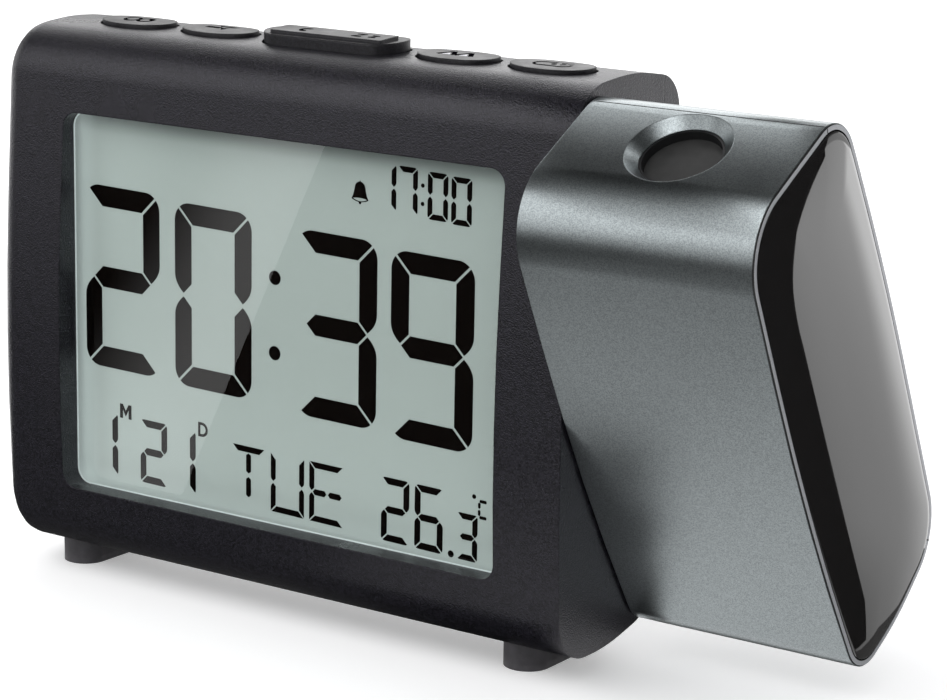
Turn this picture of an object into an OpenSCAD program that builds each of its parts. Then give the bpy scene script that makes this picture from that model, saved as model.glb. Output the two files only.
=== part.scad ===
// Projection alarm clock: an LCD clock with a swivelling projector head on its right end.
// Millimetres, +Z up, the clock faces -Y. The origin is on the table, under the middle of the clock.
// Most pieces are drawn about the swivel axis, which runs along X, and are then lifted into place.

/* [Housing] */
// Length of the housing without the projector head
housing_w = 112; // [108:0.5:116]
// Depth of the housing's cross-section
housing_d = 31.4; // [31:0.1:32.4]
// Height of the housing's cross-section
housing_h = 87.5; // [86:0.5:90]
// Wall thickness of all the shells
wall = 2; // [1.8:0.1:2.2]
// How far the rounded left end reaches along the housing
end_round = 4.5; // [3.5:0.5:6]
// Distance of the seam between front and rear shells behind the swivel axis
seam_y = 9.6; // [9.2:0.1:10]

/* [Display] */
// Width of the opening in front of the display
window_w = 86.3; // [84:0.1:87]
// Height of the opening in front of the display
window_h = 62.4; // [60:0.1:63]
// Distance from the opening to the housing's right end
window_margin = 11.8; // [11:0.1:13]
// How far the middle of the opening lies below the swivel axis
window_drop = 0.8; // [0:0.1:1.5]
// Distance of the clear window's face in front of the swivel axis
window_y = 12.3; // [12:0.1:12.6]

/* [Feet] */
// Height of the feet below the housing
foot_h = 3.4; // [3:0.1:6]
// Width of a foot
foot_w = 7.4; // [6:0.2:9]
// Length of a foot from front to back
foot_l = 19; // [16:0.5:19]
// Distance between the two feet
foot_pitch = 90; // [80:1:94]

/* [Keys] */
// Length of an oval key
key_w = 14.2; // [14:0.1:15.8]
// Depth of an oval key
key_d = 8; // [7:0.1:9.4]
// How far the oval keys stand out of the top
key_proud = 0.6; // [0.4:0.1:1.4]
// Distance of the inner keys from the middle of the row
inner_key_x = 23.2; // [23:0.1:24]
// Distance of the outer keys from the middle of the row
outer_key_x = 40.2; // [40:0.1:41]
// Distance from the middle of the row to the housing's right end
key_row_margin = 52.5; // [51.5:0.1:54]
// How far the row lies in front of the swivel axis
key_row_y = 2.1; // [1.5:0.1:2.5]
// Length of the snooze bar
snooze_w = 26.2; // [25:0.1:28.8]
// Depth of the snooze bar
snooze_d = 9.4; // [8:0.1:10]
// How far the snooze bar stands out of the top
snooze_proud = 1.6; // [1.4:0.1:2.6]
// Travel of all the keys
key_travel = 0.5; // [0.3:0.1:0.5]

/* [Projector head] */
// Length of the head along the swivel axis
head_w = 37.9; // [36:0.1:42]
// Depth of the head's cross-section
head_d = 33.9; // [33:0.1:35]
// Height of the head's cross-section
head_h = 82.9; // [80:0.1:85]
// Gap between the housing and the head
head_gap = 0.4; // [0.4:0.1:1]
// Turn of the head towards the front at rest, from the pose in line with the housing
head_angle = 30; // [0:1:60]
// How far the domed end cap stands out of the head's end ring
cap_proud = 0.8; // [0.5:0.1:1.2]
// Diameter of the lens dish at the surface
dish_d = 15.7; // [14:0.1:17]
// Diameter of the dish at its floor
dish_floor_d = 12.4; // [11:0.1:13]
// Depth of the dish
dish_depth = 1.7; // [1.2:0.1:1.8]

/* [Pivot] */
// Radius of the hollow spindle
spindle_r = 7; // [6.6:0.1:7.2]
// Radius of the spindle's bore
spindle_bore_r = 5; // [4:0.1:5.4]
// Radial running clearance of the spindle in its bush
running_gap = 0.05; // [0.03:0.01:0.08]

/* [Battery compartment] */
// Diameter of a cell
cell_d = 10.5; // [10.4:0.1:10.5]
// Length of a cell with its nub
cell_l = 44.5; // [44:0.1:44.5]

/* [Hidden] */
$fn = 64;

CHARCOAL = [0.17, 0.17, 0.19];
GUNMETAL = [0.46, 0.49, 0.51];
BOARD_GREEN = [0.1, 0.35, 0.2];
STEEL = [0.72, 0.73, 0.75];

// The corners of the two cross-sections: share of the depth, share of the height, corner radius.
// Front and back are bowed, so each has a corner of a very large radius. The housing's top is bowed too.
HOUSING_CORNERS = [
    [-0.417, 0.4918, 8.3],
    [-0.522, -0.098, 400],
    [-0.463, -0.494, 7.5],
    [-0.065, -0.4986, 40],
    [0.411, -0.4606, 9],
    [0.508, 0.138, 400],
    [0.478, 0.4838, 6.2],
    [0.064, 0.506, 40]
];
HEAD_CORNERS = [
    [-0.425, 0.504, 10.6],
    [-0.528, -0.098, 400],
    [-0.47, -0.494, 6.5],
    [-0.079, -0.4986, 40],
    [0.413, -0.4606, 10.3],
    [0.507, 0.138, 400],
    [0.483, 0.5004, 7]
];
ARC_STEP = 7.5;
THROUGH = 40;

// Places along X
total_w = housing_w + head_gap + head_w + cap_proud;
housing_x0 = -total_w / 2;
housing_x1 = housing_x0 + housing_w;
housing_mid = (housing_x0 + housing_x1) / 2;
head_x0 = housing_x1 + head_gap;
head_x1 = head_x0 + head_w;
window_x = housing_x1 - window_margin - window_w / 2;
key_row_x = housing_x1 - key_row_margin;

// The housing's section is set a little forward of the axis
housing_shift = -0.9;
// The left end is drawn in by these amounts, top, bottom, front and back
end_drop = 4;
end_rise = 7;
end_side = 4;

// The stack behind the opening, by distance from the swivel axis, front to back
skirt_y = -window_y - 0.05;
glass_y = -window_y + 1.6;
guide_y = glass_y + 2.2;
holder_floor_y = guide_y + 3;
board_y = holder_floor_y + 1.5;
board_back_y = board_y + 1.6;
holder_w = 92;
holder_h = 68.8;
glass_w = 89;
glass_h = 65.4;

// Columns that the screws go into
holder_post_x = [window_x - holder_w / 2 - 3.2, window_x + holder_w / 2 + 3];
holder_post_z = 20;
cover_post_x = [housing_x0 + 7, housing_x1 - 5.35];
cover_post_z = [-31, 35];
cover_seat_y = seam_y + 1.3;

// Key stack, by height over the swivel axis
key_board_z = 34;
switch_z = key_board_z + 1.2;
plunger_z = switch_z + 3.9;
key_foot_z = plunger_z + key_travel + 0.1;
key_lip = 1.2;
key_gap = 0.35;

// Battery compartment
tray_x = housing_mid - 18.5;
tray_z = -6;
tray_w = 52;
tray_h = 23;
tray_wall = 1.4;
tray_floor_y = board_back_y + 3.4;
cell_y = tray_floor_y + cell_d / 2 + 0.1;
cell_pitch = 11.2;
door_w = tray_w + 2;
door_h = tray_h + 2;
door_t = 1.75;
door_pin_r = 0.7;
door_hinge_y = housing_shift + 0.422 * housing_d;
door_hinge_z = tray_z - door_h / 2 + door_t / 2;

// Pivot, by distance from the housing's right end
bush_flange_x = housing_x1 - wall - 1.8;
bush_r = spindle_r + 2.2;
washer_x = bush_flange_x - 1.5;
ring_x = washer_x - 1.1;
stop_half_angle = 78;
lug_half_angle = 10;

// Projector, about the optical axis in the head
optic_x = head_x0 + 18.8;
optic_y = 3;
head_seam_y = 11.1;
dish_z = 0.502 * head_h;
head_post_x = [head_x0 + 6.5, head_x1 - 7.5];
head_post_z = [-29.5, 32.5];
head_seat_y = head_seam_y + 1.5;
ring_w = 1.25;
window_z = dish_z - dish_depth - 2.6;
barrel_r = 8;
window_r = dish_floor_d / 2 - 0.45;
sleeve_top_z = dish_z - dish_depth - 0.1;
rim_step = 0.2;
barrel_top_z = window_z + 0.5;
collar_z = 30;
board_shelf_z = -1.6;

// Height and depth of the swivel axis over the origin
axis_z = foot_h + housing_h / 2;
rest_y = concat(
    [for (p = head_outline(0)) p.x * cos(head_angle) - p.y * sin(head_angle)],
    [for (p = housing_outline(0)) p.x + housing_shift]
);
axis_y = -(min(rest_y) + max(rest_y)) / 2;

function unit(v) = v / norm(v);
function shortest(turn) = turn > 180 ? turn - 360 : turn < -180 ? turn + 360 : turn;

// The arc that rounds the corner at here, between the corners before and after it
function corner_arc(before, here, after, r) =
    let (
        a = unit(before - here),
        b = unit(after - here),
        half = acos(a * b) / 2,
        centre = here + unit(a + b) * r / sin(half),
        p = here + a * r / tan(half) - centre,
        q = here + b * r / tan(half) - centre,
        start = atan2(p.y, p.x),
        sweep = shortest(atan2(q.y, q.x) - start),
        steps = max(4, ceil(abs(sweep) / ARC_STEP))
    )
    [for (i = [0:steps]) centre + r * [cos(start + sweep * i / steps), sin(start + sweep * i / steps)]];

// A closed cross-section as [y, z] about its middle, from corners given as shares of its depth and height
function section(corners, d, h, inset) =
    let (
        spots = [for (c = corners) [c.x * (d - 2 * inset), c.y * (h - 2 * inset)]],
        n = len(corners)
    )
    [
        for (i = [0:n - 1])
            each corner_arc(spots[(i + n - 1) % n], spots[i], spots[(i + 1) % n], max(corners[i].z - inset, 0.5))
    ];

function housing_outline(inset) = section(HOUSING_CORNERS, housing_d, housing_h, inset);

function head_outline(inset) = section(HEAD_CORNERS, head_d, head_h, inset);

// An oval between an ellipse and a rectangle, for the keys
function oval(w, d) =
    [
        for (a = [0:10:350])
            [w / 2 * sign(cos(a)) * pow(abs(cos(a)), 0.93), d / 2 * sign(sin(a)) * pow(abs(sin(a)), 0.93)]
    ];

module along_x(x0, x1) {
    translate([x0, 0, 0]) rotate([90, 0, 90]) linear_extrude(x1 - x0) children();
}

module along_y(y0, y1) {
    translate([0, y1, 0]) rotate([90, 0, 0]) linear_extrude(y1 - y0) children();
}

module rod_x(x0, x1, r) {
    translate([x0, 0, 0]) rotate([0, 90, 0]) cylinder(h = x1 - x0, r = r);
}

module rod_y(y0, y1, r) {
    translate([0, y1, 0]) rotate([90, 0, 0]) cylinder(h = y1 - y0, r = r);
}

module box_between(low, high) {
    translate(low) cube(high - low);
}

module rounded_rect(w, h, r) {
    square([w - 2 * r, h], center = true);
    square([w, h - 2 * r], center = true);
    for (sx = [-1, 1], sy = [-1, 1]) {
        translate([sx * (w / 2 - r), sy * (h / 2 - r)]) circle(r = r);
    }
}

module stadium(w, d) {
    square([w - d, d], center = true);
    for (s = [-1, 1]) translate([s * (w - d) / 2, 0]) circle(d = d);
}

// From the swivel axis to the part's own frame
module in_place() {
    translate([0, axis_y, axis_z]) children();
}

// The head's own upright frame, turned to its rest pose
module in_head() {
    in_place() rotate([head_angle, 0, 0]) children();
}

// A closed solid through rings of points that all run the same way round, low X first
module loft(rings) {
    n = len(rings[0]);
    last = len(rings) - 1;
    sides = [
        for (k = [0:last - 1], j = [0:n - 1])
            let (a = k * n + j, b = k * n + (j + 1) % n)
            each [[a, a + n, b], [b, a + n, b + n]]
    ];
    low_end = [for (j = [0:n - 1]) j];
    high_end = [for (j = [n - 1:-1:0]) last * n + j];
    polyhedron(points = [for (ring = rings) each ring], faces = concat([low_end], sides, [high_end]));
}

// One ring round the housing; drawn_in is 1 at the very end and 0 where the full section begins
function housing_ring(x, inset, drawn_in) =
    let (
        narrow = 1 - 2 * end_side * drawn_in / (housing_d - 2 * inset),
        squat = 1 - (end_drop + end_rise) * drawn_in / (housing_h - 2 * inset),
        lift = (end_rise - end_drop) * drawn_in / 2
    )
    [for (p = housing_outline(inset)) [x, p.x * narrow + housing_shift, p.y * squat + lift]];

// The housing's outer form, or the same form set in by a wall
module housing_solid(inset = 0) {
    end_rings = [
        for (a = [0:15:90]) housing_ring(housing_x0 + inset + end_round * (1 - cos(a)), inset, 1 - sin(a))
    ];
    loft(concat(end_rings, [housing_ring(housing_x1 - inset, inset, 0)]));
}

// The head's form between two planes, set in by inset
module head_solid(x0, x1, inset = 0) {
    along_x(x0, x1) polygon(head_outline(inset));
}

module behind(y) {
    box_between([-100, y, -100], [100, 100, 100]);
}

module in_front_of(y) {
    box_between([-100, -100, -100], [100, y, 100]);
}

module window_outline(margin) {
    translate([window_x, -window_drop]) rounded_rect(window_w + 2 * margin, window_h + 2 * margin, 2.6 + margin / 2);
}

module at_holder_posts() {
    for (x = holder_post_x, s = [-1, 1]) translate([x, 0, s * holder_post_z]) children();
}

module at_cover_posts() {
    for (x = cover_post_x, z = cover_post_z) translate([x, 0, z]) children();
}

module at_head_posts() {
    for (x = head_post_x, z = head_post_z) translate([x, 0, z]) children();
}

// A self-tapping screw that points to the front, its head's underside at y
module screw(y, shank_l, shank_r, head_r, head_t) {
    difference() {
        union() {
            rod_y(y - shank_l, y + 0.1, shank_r);
            rod_y(y, y + head_t, head_r);
        }
        for (a = [0, 90]) rotate([0, a, 0]) {
            box_between([-head_r * 0.6, y + head_t * 0.4, -0.3], [head_r * 0.6, y + head_t + 1, 0.3]);
        }
    }
}

module feet_prisms() {
    for (s = [-1, 1]) {
        translate([housing_mid + s * foot_pitch / 2, foot_l / 2 - 11, -axis_z]) {
            linear_extrude(10) rotate(90) stadium(foot_l, foot_w);
        }
    }
}

// The holes and prisms of the keys: grow widens them all round
module key_outline(grow) {
    polygon(oval(key_w + 2 * grow, key_d + 2 * grow));
}

module snooze_outline(grow) {
    stadium(snooze_w + 2 * grow, snooze_d + 2 * grow);
}

module at_key(offset_x) {
    translate([key_row_x + offset_x, -key_row_y, 0]) children();
}

module front_housing() {
    color(CHARCOAL) in_place() difference() {
        union() {
            difference() {
                housing_solid();
                housing_solid(wall);
                behind(seam_y);
            }
            intersection() {
                housing_solid(0.5);
                union() {
                    along_y(-16, skirt_y) window_outline(1.8);
                    at_holder_posts() rod_y(-17, holder_floor_y - 1.7, 2.8);
                    at_cover_posts() rod_y(-17, seam_y, 3.2);
                }
            }
        }
        along_y(-THROUGH, skirt_y + 1) window_outline(0);
        at_holder_posts() rod_y(-13.5, 0, 0.95);
        at_cover_posts() rod_y(-6, seam_y + 1, 1.3);
        translate([0, 0, key_board_z]) {
            for (x = [-outer_key_x, -inner_key_x, inner_key_x, outer_key_x]) {
                at_key(x) linear_extrude(THROUGH) key_outline(key_gap);
            }
            at_key(0) linear_extrude(THROUGH) snooze_outline(key_gap);
        }
        rod_x(housing_x1 - wall - 1, housing_x1 + 1, bush_r);
        difference() {
            feet_prisms();
            housing_solid(0.8);
        }
    }
}

module tray_box(grow, y0, y1) {
    box_between(
        [tray_x - tray_w / 2 - grow, y0, tray_z - tray_h / 2 - grow],
        [tray_x + tray_w / 2 + grow, y1, tray_z + tray_h / 2 + grow]
    );
}

module door_prism(grow) {
    along_y(8, THROUGH) translate([tray_x, tray_z]) square([door_w + 2 * grow, door_h + 2 * grow], center = true);
}

buzzer_x = 12;
buzzer_z = -16;
buzzer_r = 11;
buzzer_y = 6.2;
usb_x = 14;
usb_z = 19.2;
usb_mouth_y = 13.8;
usb_board_y = 12;
sensor_x = -22;
sensor_z = -29;

module rear_cover() {
    color(CHARCOAL) in_place() difference() {
        union() {
            difference() {
                housing_solid();
                housing_solid(wall);
                in_front_of(seam_y);
            }
            intersection() {
                housing_solid(0.5);
                union() {
                    tray_box(tray_wall, tray_floor_y - 1.3, THROUGH);
                    at_cover_posts() rod_y(seam_y, THROUGH, 4);
                    translate([buzzer_x, 0, buzzer_z]) rod_y(buzzer_y + 1, THROUGH, buzzer_r + 1.3);
                    box_between([usb_x - 8.4, 6, usb_z - 1.2], [usb_x + 8.4, THROUGH, usb_z + 1.4]);
                }
            }
        }
        tray_box(0, tray_floor_y, THROUGH);
        difference() {
            door_prism(0.3);
            housing_solid(door_t + 0.1);
        }
        difference() {
            translate([tray_x, 0, tray_z + door_h / 2]) rod_y(8, THROUGH, 5);
            housing_solid(1);
        }
        translate([0, door_hinge_y, door_hinge_z]) {
            rod_x(tray_x - door_w / 2 - 1.6, tray_x + door_w / 2 + 1.6, door_pin_r + 0.06);
            rod_x(tray_x - door_w / 2 - 0.3, tray_x + door_w / 2 + 0.3, door_t / 2 + 0.3);
        }
        at_cover_posts() {
            rod_y(seam_y - 1, THROUGH, 1.5);
            rod_y(cover_seat_y, THROUGH, 2.8);
        }
        translate([buzzer_x, 0, buzzer_z]) {
            rod_y(buzzer_y, buzzer_y + 4.3, buzzer_r + 0.05);
            rod_y(buzzer_y, buzzer_y + 5, buzzer_r - 2);
            rod_y(8, THROUGH, 0.9);
            for (a = [0:60:300]) rotate([0, a, 0]) translate([5, 0, 0]) rod_y(8, THROUGH, 0.9);
        }
        box_between([usb_x - 7.1, 5, usb_z - 0.05], [usb_x + 7.1, usb_board_y + 0.1, usb_z + 3]);
        box_between([usb_x - 3.9, 5, usb_z + 1.15], [usb_x + 3.9, THROUGH, usb_z + 3.95]);
        for (i = [-2:2]) {
            translate([sensor_x + 3.2 * i, 0, sensor_z]) {
                along_y(8, THROUGH) rotate(90) stadium(8, 1.4);
            }
        }
    }
}

module display_window() {
    color([0.8, 0.86, 0.86, 0.35]) in_place() {
        along_y(-window_y, -window_y + 1.5) window_outline(2.5);
    }
}

module lcd_glass() {
    color([0.62, 0.67, 0.65]) in_place() along_y(glass_y, guide_y - 0.05) {
        translate([window_x, -window_drop]) square([glass_w, glass_h], center = true);
    }
}

// The rectangle behind the display, with a tab at each holder post
module tabbed_plate(w, h, tab_r) {
    translate([window_x, -window_drop]) square([w, h], center = true);
    for (x = holder_post_x, s = [-1, 1]) {
        inner_x = window_x + sign(x - window_x) * (w / 2 - 1);
        translate([(x + inner_x) / 2, s * holder_post_z]) square([abs(x - inner_x), 2 * tab_r], center = true);
        translate([x, s * holder_post_z]) circle(r = tab_r);
    }
}

module lcd_holder() {
    guide_w = 84;
    guide_h = 56;
    strip_z = guide_h / 2 + 2.2;
    color([0.85, 0.85, 0.83]) in_place() difference() {
        union() {
            along_y(glass_y, board_y) translate([window_x, -window_drop]) square([holder_w, holder_h], center = true);
            along_y(holder_floor_y - 1.7, board_y) tabbed_plate(holder_w, holder_h, 2.7);
            for (s = [-1, 1]) {
                translate([window_x + s * 30, 0, 0]) {
                    box_between([-3, holder_floor_y, 30], [3, board_y, key_board_z]);
                }
            }
        }
        along_y(glass_y - 1, guide_y) {
            translate([window_x, -window_drop]) square([glass_w + 0.2, glass_h + 0.2], center = true);
        }
        along_y(guide_y - 1, holder_floor_y) {
            translate([window_x, -window_drop]) square([guide_w + 0.3, guide_h + 0.2], center = true);
        }
        for (s = [-1, 1]) {
            translate([window_x, 0, s * strip_z - window_drop]) {
                box_between([-38.1, guide_y - 1, -1.05], [38.1, board_y + 1, 1.05]);
            }
        }
        at_holder_posts() rod_y(-13, 0, 1.15);
    }
}

module light_guide() {
    color([0.93, 0.95, 0.94]) in_place() {
        translate([window_x + 1, 0, -window_drop]) {
            box_between([-41, guide_y + 0.05, -28], [41, holder_floor_y - 0.05, 28]);
        }
    }
}

module backlight_leds() {
    color([0.95, 0.93, 0.8]) in_place() for (s = [-1, 1]) {
        translate([window_x - 41.9, 0, s * 14 - window_drop]) {
            difference() {
                box_between([0, guide_y + 0.4, -2], [1.7, holder_floor_y - 0.4, 2]);
                box_between([1.3, guide_y + 0.8, -1.4], [3, holder_floor_y - 0.8, 1.4]);
            }
        }
    }
}

module elastomer_strips() {
    color([0.75, 0.45, 0.5]) in_place() for (s = [-1, 1]) {
        translate([window_x, 0, s * 30.2 - window_drop]) {
            box_between([-38, guide_y, -1], [38, board_y, 1]);
        }
    }
}

module main_board() {
    color(BOARD_GREEN) in_place() difference() {
        along_y(board_y, board_back_y) difference() {
            tabbed_plate(holder_w - 1.6, holder_h - 2, 2.7);
            for (x = holder_post_x, s = [-1, 1]) translate([x, s * holder_post_z]) circle(r = 1.15);
            translate([window_x - 30, -window_drop + 30]) circle(r = 1.5);
            translate([window_x + 30, -window_drop - 30]) circle(r = 1.5);
        }
    }
}

module clock_chip() {
    color([0.06, 0.06, 0.07]) in_place() translate([0, board_back_y, 10]) rotate([-90, 0, 0]) {
        rotate_extrude() polygon([[0, 0], [6, 0], [5.2, 0.7], [3.6, 1.3], [1.8, 1.6], [0, 1.7]]);
    }
}

module quartz_crystal() {
    color(STEEL) in_place() translate([16, board_back_y + 1.5, 24]) {
        rod_x(-4, 4, 1.5);
        for (z = [-0.6, 0.6]) translate([0, 0, z]) rod_x(3.9, 6.4, 0.25);
    }
}

module wire_connector() {
    color([0.92, 0.9, 0.84]) in_place() difference() {
        box_between([13, board_back_y, -4], [18.4, 2.6, 4]);
        box_between([17, board_back_y + 0.8, -3.2], [19, 2, 3.2]);
    }
}

wires_r = 1.3;

module projector_wires() {
    color([0.75, 0.15, 0.12]) in_place() {
        rod_x(17, head_x0 + 5.4, wires_r);
    }
}

module key_board() {
    color(BOARD_GREEN) in_place() {
        at_key(0) box_between([-45, -5.2, key_board_z], [43.5, 5.2, switch_z]);
    }
}

module tact_switches() {
    color([0.12, 0.12, 0.13]) in_place() for (x = [-outer_key_x, -inner_key_x, 0, inner_key_x, outer_key_x]) {
        at_key(x) {
            box_between([-3, -3, switch_z], [3, 3, plunger_z - 0.5]);
            translate([0, 0, switch_z]) cylinder(h = plunger_z - switch_z, r = 1.7);
        }
    }
}

module board_screws() {
    color(STEEL) in_place() at_holder_posts() screw(board_back_y, 10, 0.9, 2, 1.4);
}

module feet() {
    color([0.1, 0.1, 0.1]) in_place() difference() {
        feet_prisms();
        housing_solid(0.8);
    }
}

module housing_screws() {
    color(STEEL) in_place() at_cover_posts() screw(cover_seat_y, 13, 1.25, 2.5, 1.5);
}

// Two cells that lie along X; turn is 1 where the nub points to +X
module at_cells() {
    for (s = [-1, 1]) {
        translate([tray_x, cell_y, tray_z + s * cell_pitch / 2]) rotate([0, s > 0 ? 0 : 180, 0]) children();
    }
}

nub_end_x = tray_w / 2 - 0.6;

module battery_cells() {
    nub_l = 1.2;
    color([0.2, 0.45, 0.3]) in_place() at_cells() {
        rod_x(nub_end_x - cell_l, nub_end_x - nub_l, cell_d / 2);
        rod_x(nub_end_x - nub_l - 0.1, nub_end_x, 1.9);
    }
}

module battery_springs() {
    turns = 5;
    spring_l = tray_w / 2 + nub_end_x - cell_l - 0.5;
    pitch = spring_l / turns;
    color(STEEL) in_place() at_cells() translate([-tray_w / 2, 0, 0]) {
        box_between([0, -4.4, -4.6], [0.5, 4.4, 4.6]);
        translate([0.5, 0, 0]) rotate([0, 90, 0]) rotate_extrude() {
            polygon(concat(
                [[2, 0]],
                [for (i = [0:turns - 1]) each [[4 - 0.4 * i, pitch * (i + 0.25)], [3.1 - 0.4 * i, pitch * (i + 1)]]],
                [[0.9, spring_l]]
            ));
        }
    }
}

module battery_plates() {
    color(STEEL) in_place() at_cells() difference() {
        box_between([nub_end_x, -4.4, -4.6], [nub_end_x + 0.5, 4.4, 4.6]);
        rod_x(nub_end_x - 1, nub_end_x + 0.15, 1.4);
    }
}

module buzzer() {
    color([0.1, 0.1, 0.1]) in_place() translate([buzzer_x, 0, buzzer_z]) difference() {
        rod_y(buzzer_y, buzzer_y + 4.2, buzzer_r);
        rod_y(buzzer_y + 3.4, buzzer_y + 5, 2);
    }
}

module usb_board() {
    color(BOARD_GREEN) in_place() {
        box_between([usb_x - 7, 4.5, usb_z], [usb_x + 7, usb_board_y, usb_z + 1.2]);
    }
}

module usb_socket() {
    color(STEEL) in_place() difference() {
        box_between([usb_x - 3.8, 8, usb_z + 1.2], [usb_x + 3.8, usb_mouth_y, usb_z + 3.9]);
        box_between([usb_x - 3.4, 9, usb_z + 1.55], [usb_x + 3.4, usb_mouth_y + 1, usb_z + 3.5]);
    }
}

module temperature_sensor() {
    color([0.15, 0.15, 0.16]) in_place() translate([sensor_x, 0, sensor_z]) {
        translate([0, 8.4, 0]) sphere(r = 1.3);
        for (s = [-1, 1]) translate([s * 0.6, 0, 0]) rod_y(board_back_y, 8.4, 0.25);
    }
}

// The bush and the block that stops the head a quarter turn either way
module pivot_bush() {
    color([0.9, 0.9, 0.88]) in_place() difference() {
        union() {
            rod_x(bush_flange_x, housing_x1 - wall, bush_r + 1.8);
            rod_x(bush_flange_x, housing_x1, bush_r);
            intersection() {
                difference() {
                    rod_x(ring_x - 0.2, bush_flange_x + 0.1, bush_r + 1.8);
                    rod_x(ring_x - 1, bush_flange_x + 1, bush_r + 0.2);
                }
                along_x(ring_x - 1, bush_flange_x + 1) {
                    polygon([for (a = [-stop_half_angle, 0, stop_half_angle]) 60 * [sin(a), cos(a)], [0, 0]]);
                }
            }
        }
        rod_x(ring_x - 1, housing_x1 + 1, spindle_r + running_gap);
    }
}

module battery_door() {
    color(CHARCOAL) in_place() {
        difference() {
            intersection() {
                door_prism(0);
                housing_solid();
            }
            housing_solid(door_t);
            translate([0, door_hinge_y, door_hinge_z]) box_between([-100, -10, -10], [100, 10, 0]);
        }
        translate([0, door_hinge_y, door_hinge_z]) {
            rod_x(tray_x - door_w / 2, tray_x + door_w / 2, door_t / 2);
            rod_x(tray_x - door_w / 2 - 1.3, tray_x + door_w / 2 + 1.3, door_pin_r);
        }
    }
}

// A key: its cap follows the housing's top, and its lip keeps it from coming out
module key_body(proud, lip_w, lip_d) {
    in_place() {
        intersection() {
            translate([0, housing_shift + key_row_y, 0]) along_x(-100, 100) polygon(housing_outline(-proud));
            translate([0, 0, key_foot_z]) linear_extrude(THROUGH) children();
        }
        translate([0, 0, key_foot_z]) linear_extrude(1) square([lip_w, lip_d], center = true);
    }
}

module oval_key(offset_x) {
    color(CHARCOAL) at_key(offset_x) key_body(key_proud, 9, key_d + 2 * key_lip) key_outline(0);
}

module mode_button() {
    oval_key(-outer_key_x);
}

module down_button() {
    oval_key(-inner_key_x);
}

module up_button() {
    oval_key(inner_key_x);
}

module projector_button() {
    oval_key(outer_key_x);
}

module snooze_bar() {
    color(CHARCOAL) at_key(0) {
        key_body(snooze_proud, 24, snooze_d + 2 * key_lip) snooze_outline(0);
        key_body(snooze_proud + 0.5, 22, snooze_d) translate([0.3, -1.1]) rounded_rect(21.6, 5, 0.5);
    }
}

module head_front_shell() {
    color(GUNMETAL) in_head() difference() {
        union() {
            difference() {
                head_solid(head_x0, head_x1);
                head_solid(head_x0 + wall, head_x1 + 1, wall);
                behind(head_seam_y);
            }
            intersection() {
                head_solid(head_x0, head_x1, 0.5);
                union() {
                    at_head_posts() rod_y(-20, head_seam_y, 3);
                    translate([optic_x, optic_y, collar_z]) cylinder(h = 20, r = barrel_r + 1.8);
                    box_between([optic_x - 9, -20, board_shelf_z - 2.5], [optic_x + 9, head_seam_y, board_shelf_z]);
                }
            }
        }
        behind(head_seam_y);
        translate([optic_x, optic_y, collar_z - 1]) cylinder(h = barrel_top_z - collar_z + 1, r = barrel_r + 0.05);
        head_solid(head_x1 - 2.4, head_x1 + 1, ring_w);
        rod_x(head_x0 - 1, head_x0 + wall + 1, spindle_r);
        at_head_posts() rod_y(-3, head_seam_y + 1, 1.3);
        lens_dish();
        rim_corner();
    }
}

// The small step round the end of the shells that sets the end ring off from their sides
module rim_corner() {
    difference() {
        head_solid(head_x1 - rim_step, head_x1 + 1, -1);
        head_solid(head_x1 - 1, head_x1 + 2, rim_step);
    }
}

// The cone that the lens looks out of, and the round hole in its floor
module lens_dish() {
    slope = (dish_d - dish_floor_d) / 2 / dish_depth;
    above = 1;
    translate([optic_x, optic_y, dish_z]) {
        translate([0, 0, -dish_depth]) {
            cylinder(h = dish_depth + above, r1 = dish_floor_d / 2, r2 = dish_d / 2 + slope * above);
        }
        translate([0, 0, -6]) cylinder(h = 6, r = dish_floor_d / 2);
    }
}

module head_rear_shell() {
    color(GUNMETAL) in_head() difference() {
        union() {
            difference() {
                head_solid(head_x0, head_x1);
                head_solid(head_x0 + wall, head_x1 + 1, wall);
                in_front_of(head_seam_y);
            }
            intersection() {
                head_solid(head_x0, head_x1, 0.5);
                at_head_posts() rod_y(head_seam_y, THROUGH, 4);
            }
        }
        head_solid(head_x1 - 2.4, head_x1 + 1, ring_w);
        at_head_posts() {
            rod_y(head_seam_y - 1, THROUGH, 1.5);
            rod_y(head_seat_y, THROUGH, 2.8);
        }
        rim_corner();
    }
}

// One ring of the end cap; drawn_in is how far it lies inside the cap's edge
function cap_ring(x, drawn_in) =
    let (
        edge = ring_w + 0.15,
        narrow = 1 - 2 * drawn_in / (head_d - 2 * edge),
        squat = 1 - 2 * drawn_in / (head_h - 2 * edge)
    )
    [for (p = head_outline(edge)) [x, p.x * narrow, p.y * squat]];

module head_end_cap() {
    color([0.03, 0.03, 0.035]) in_head() loft([
        cap_ring(head_x1 - 2.35, 0),
        cap_ring(head_x1 - 0.4, 0),
        cap_ring(head_x1, 0.4),
        cap_ring(head_x1 + cap_proud * 0.45, 2.2),
        cap_ring(head_x1 + cap_proud * 0.8, 5),
        cap_ring(head_x1 + cap_proud, 9)
    ]);
}

module pivot_spindle() {
    color([0.25, 0.25, 0.27]) in_head() difference() {
        union() {
            rod_x(ring_x - 1.2, head_x0 + wall + 0.5, spindle_r);
            rod_x(head_x0 + wall, head_x0 + wall + 2, spindle_r + 3.5);
        }
        rod_x(ring_x - 3, head_x0 + 10, spindle_bore_r);
        difference() {
            rod_x(ring_x - 0.02, ring_x + 0.92, spindle_r + 1);
            rod_x(ring_x - 1, ring_x + 2, spindle_r - 0.65);
        }
    }
}

module friction_washer() {
    color(STEEL) in_head() translate([washer_x, 0, 0]) rotate([0, 90, 0]) rotate_extrude() {
        polygon([[spindle_r + 0.1, 0], [spindle_r + 2, 0.85], [spindle_r + 2, 1.25], [spindle_r + 0.1, 0.4]]);
    }
}

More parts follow.
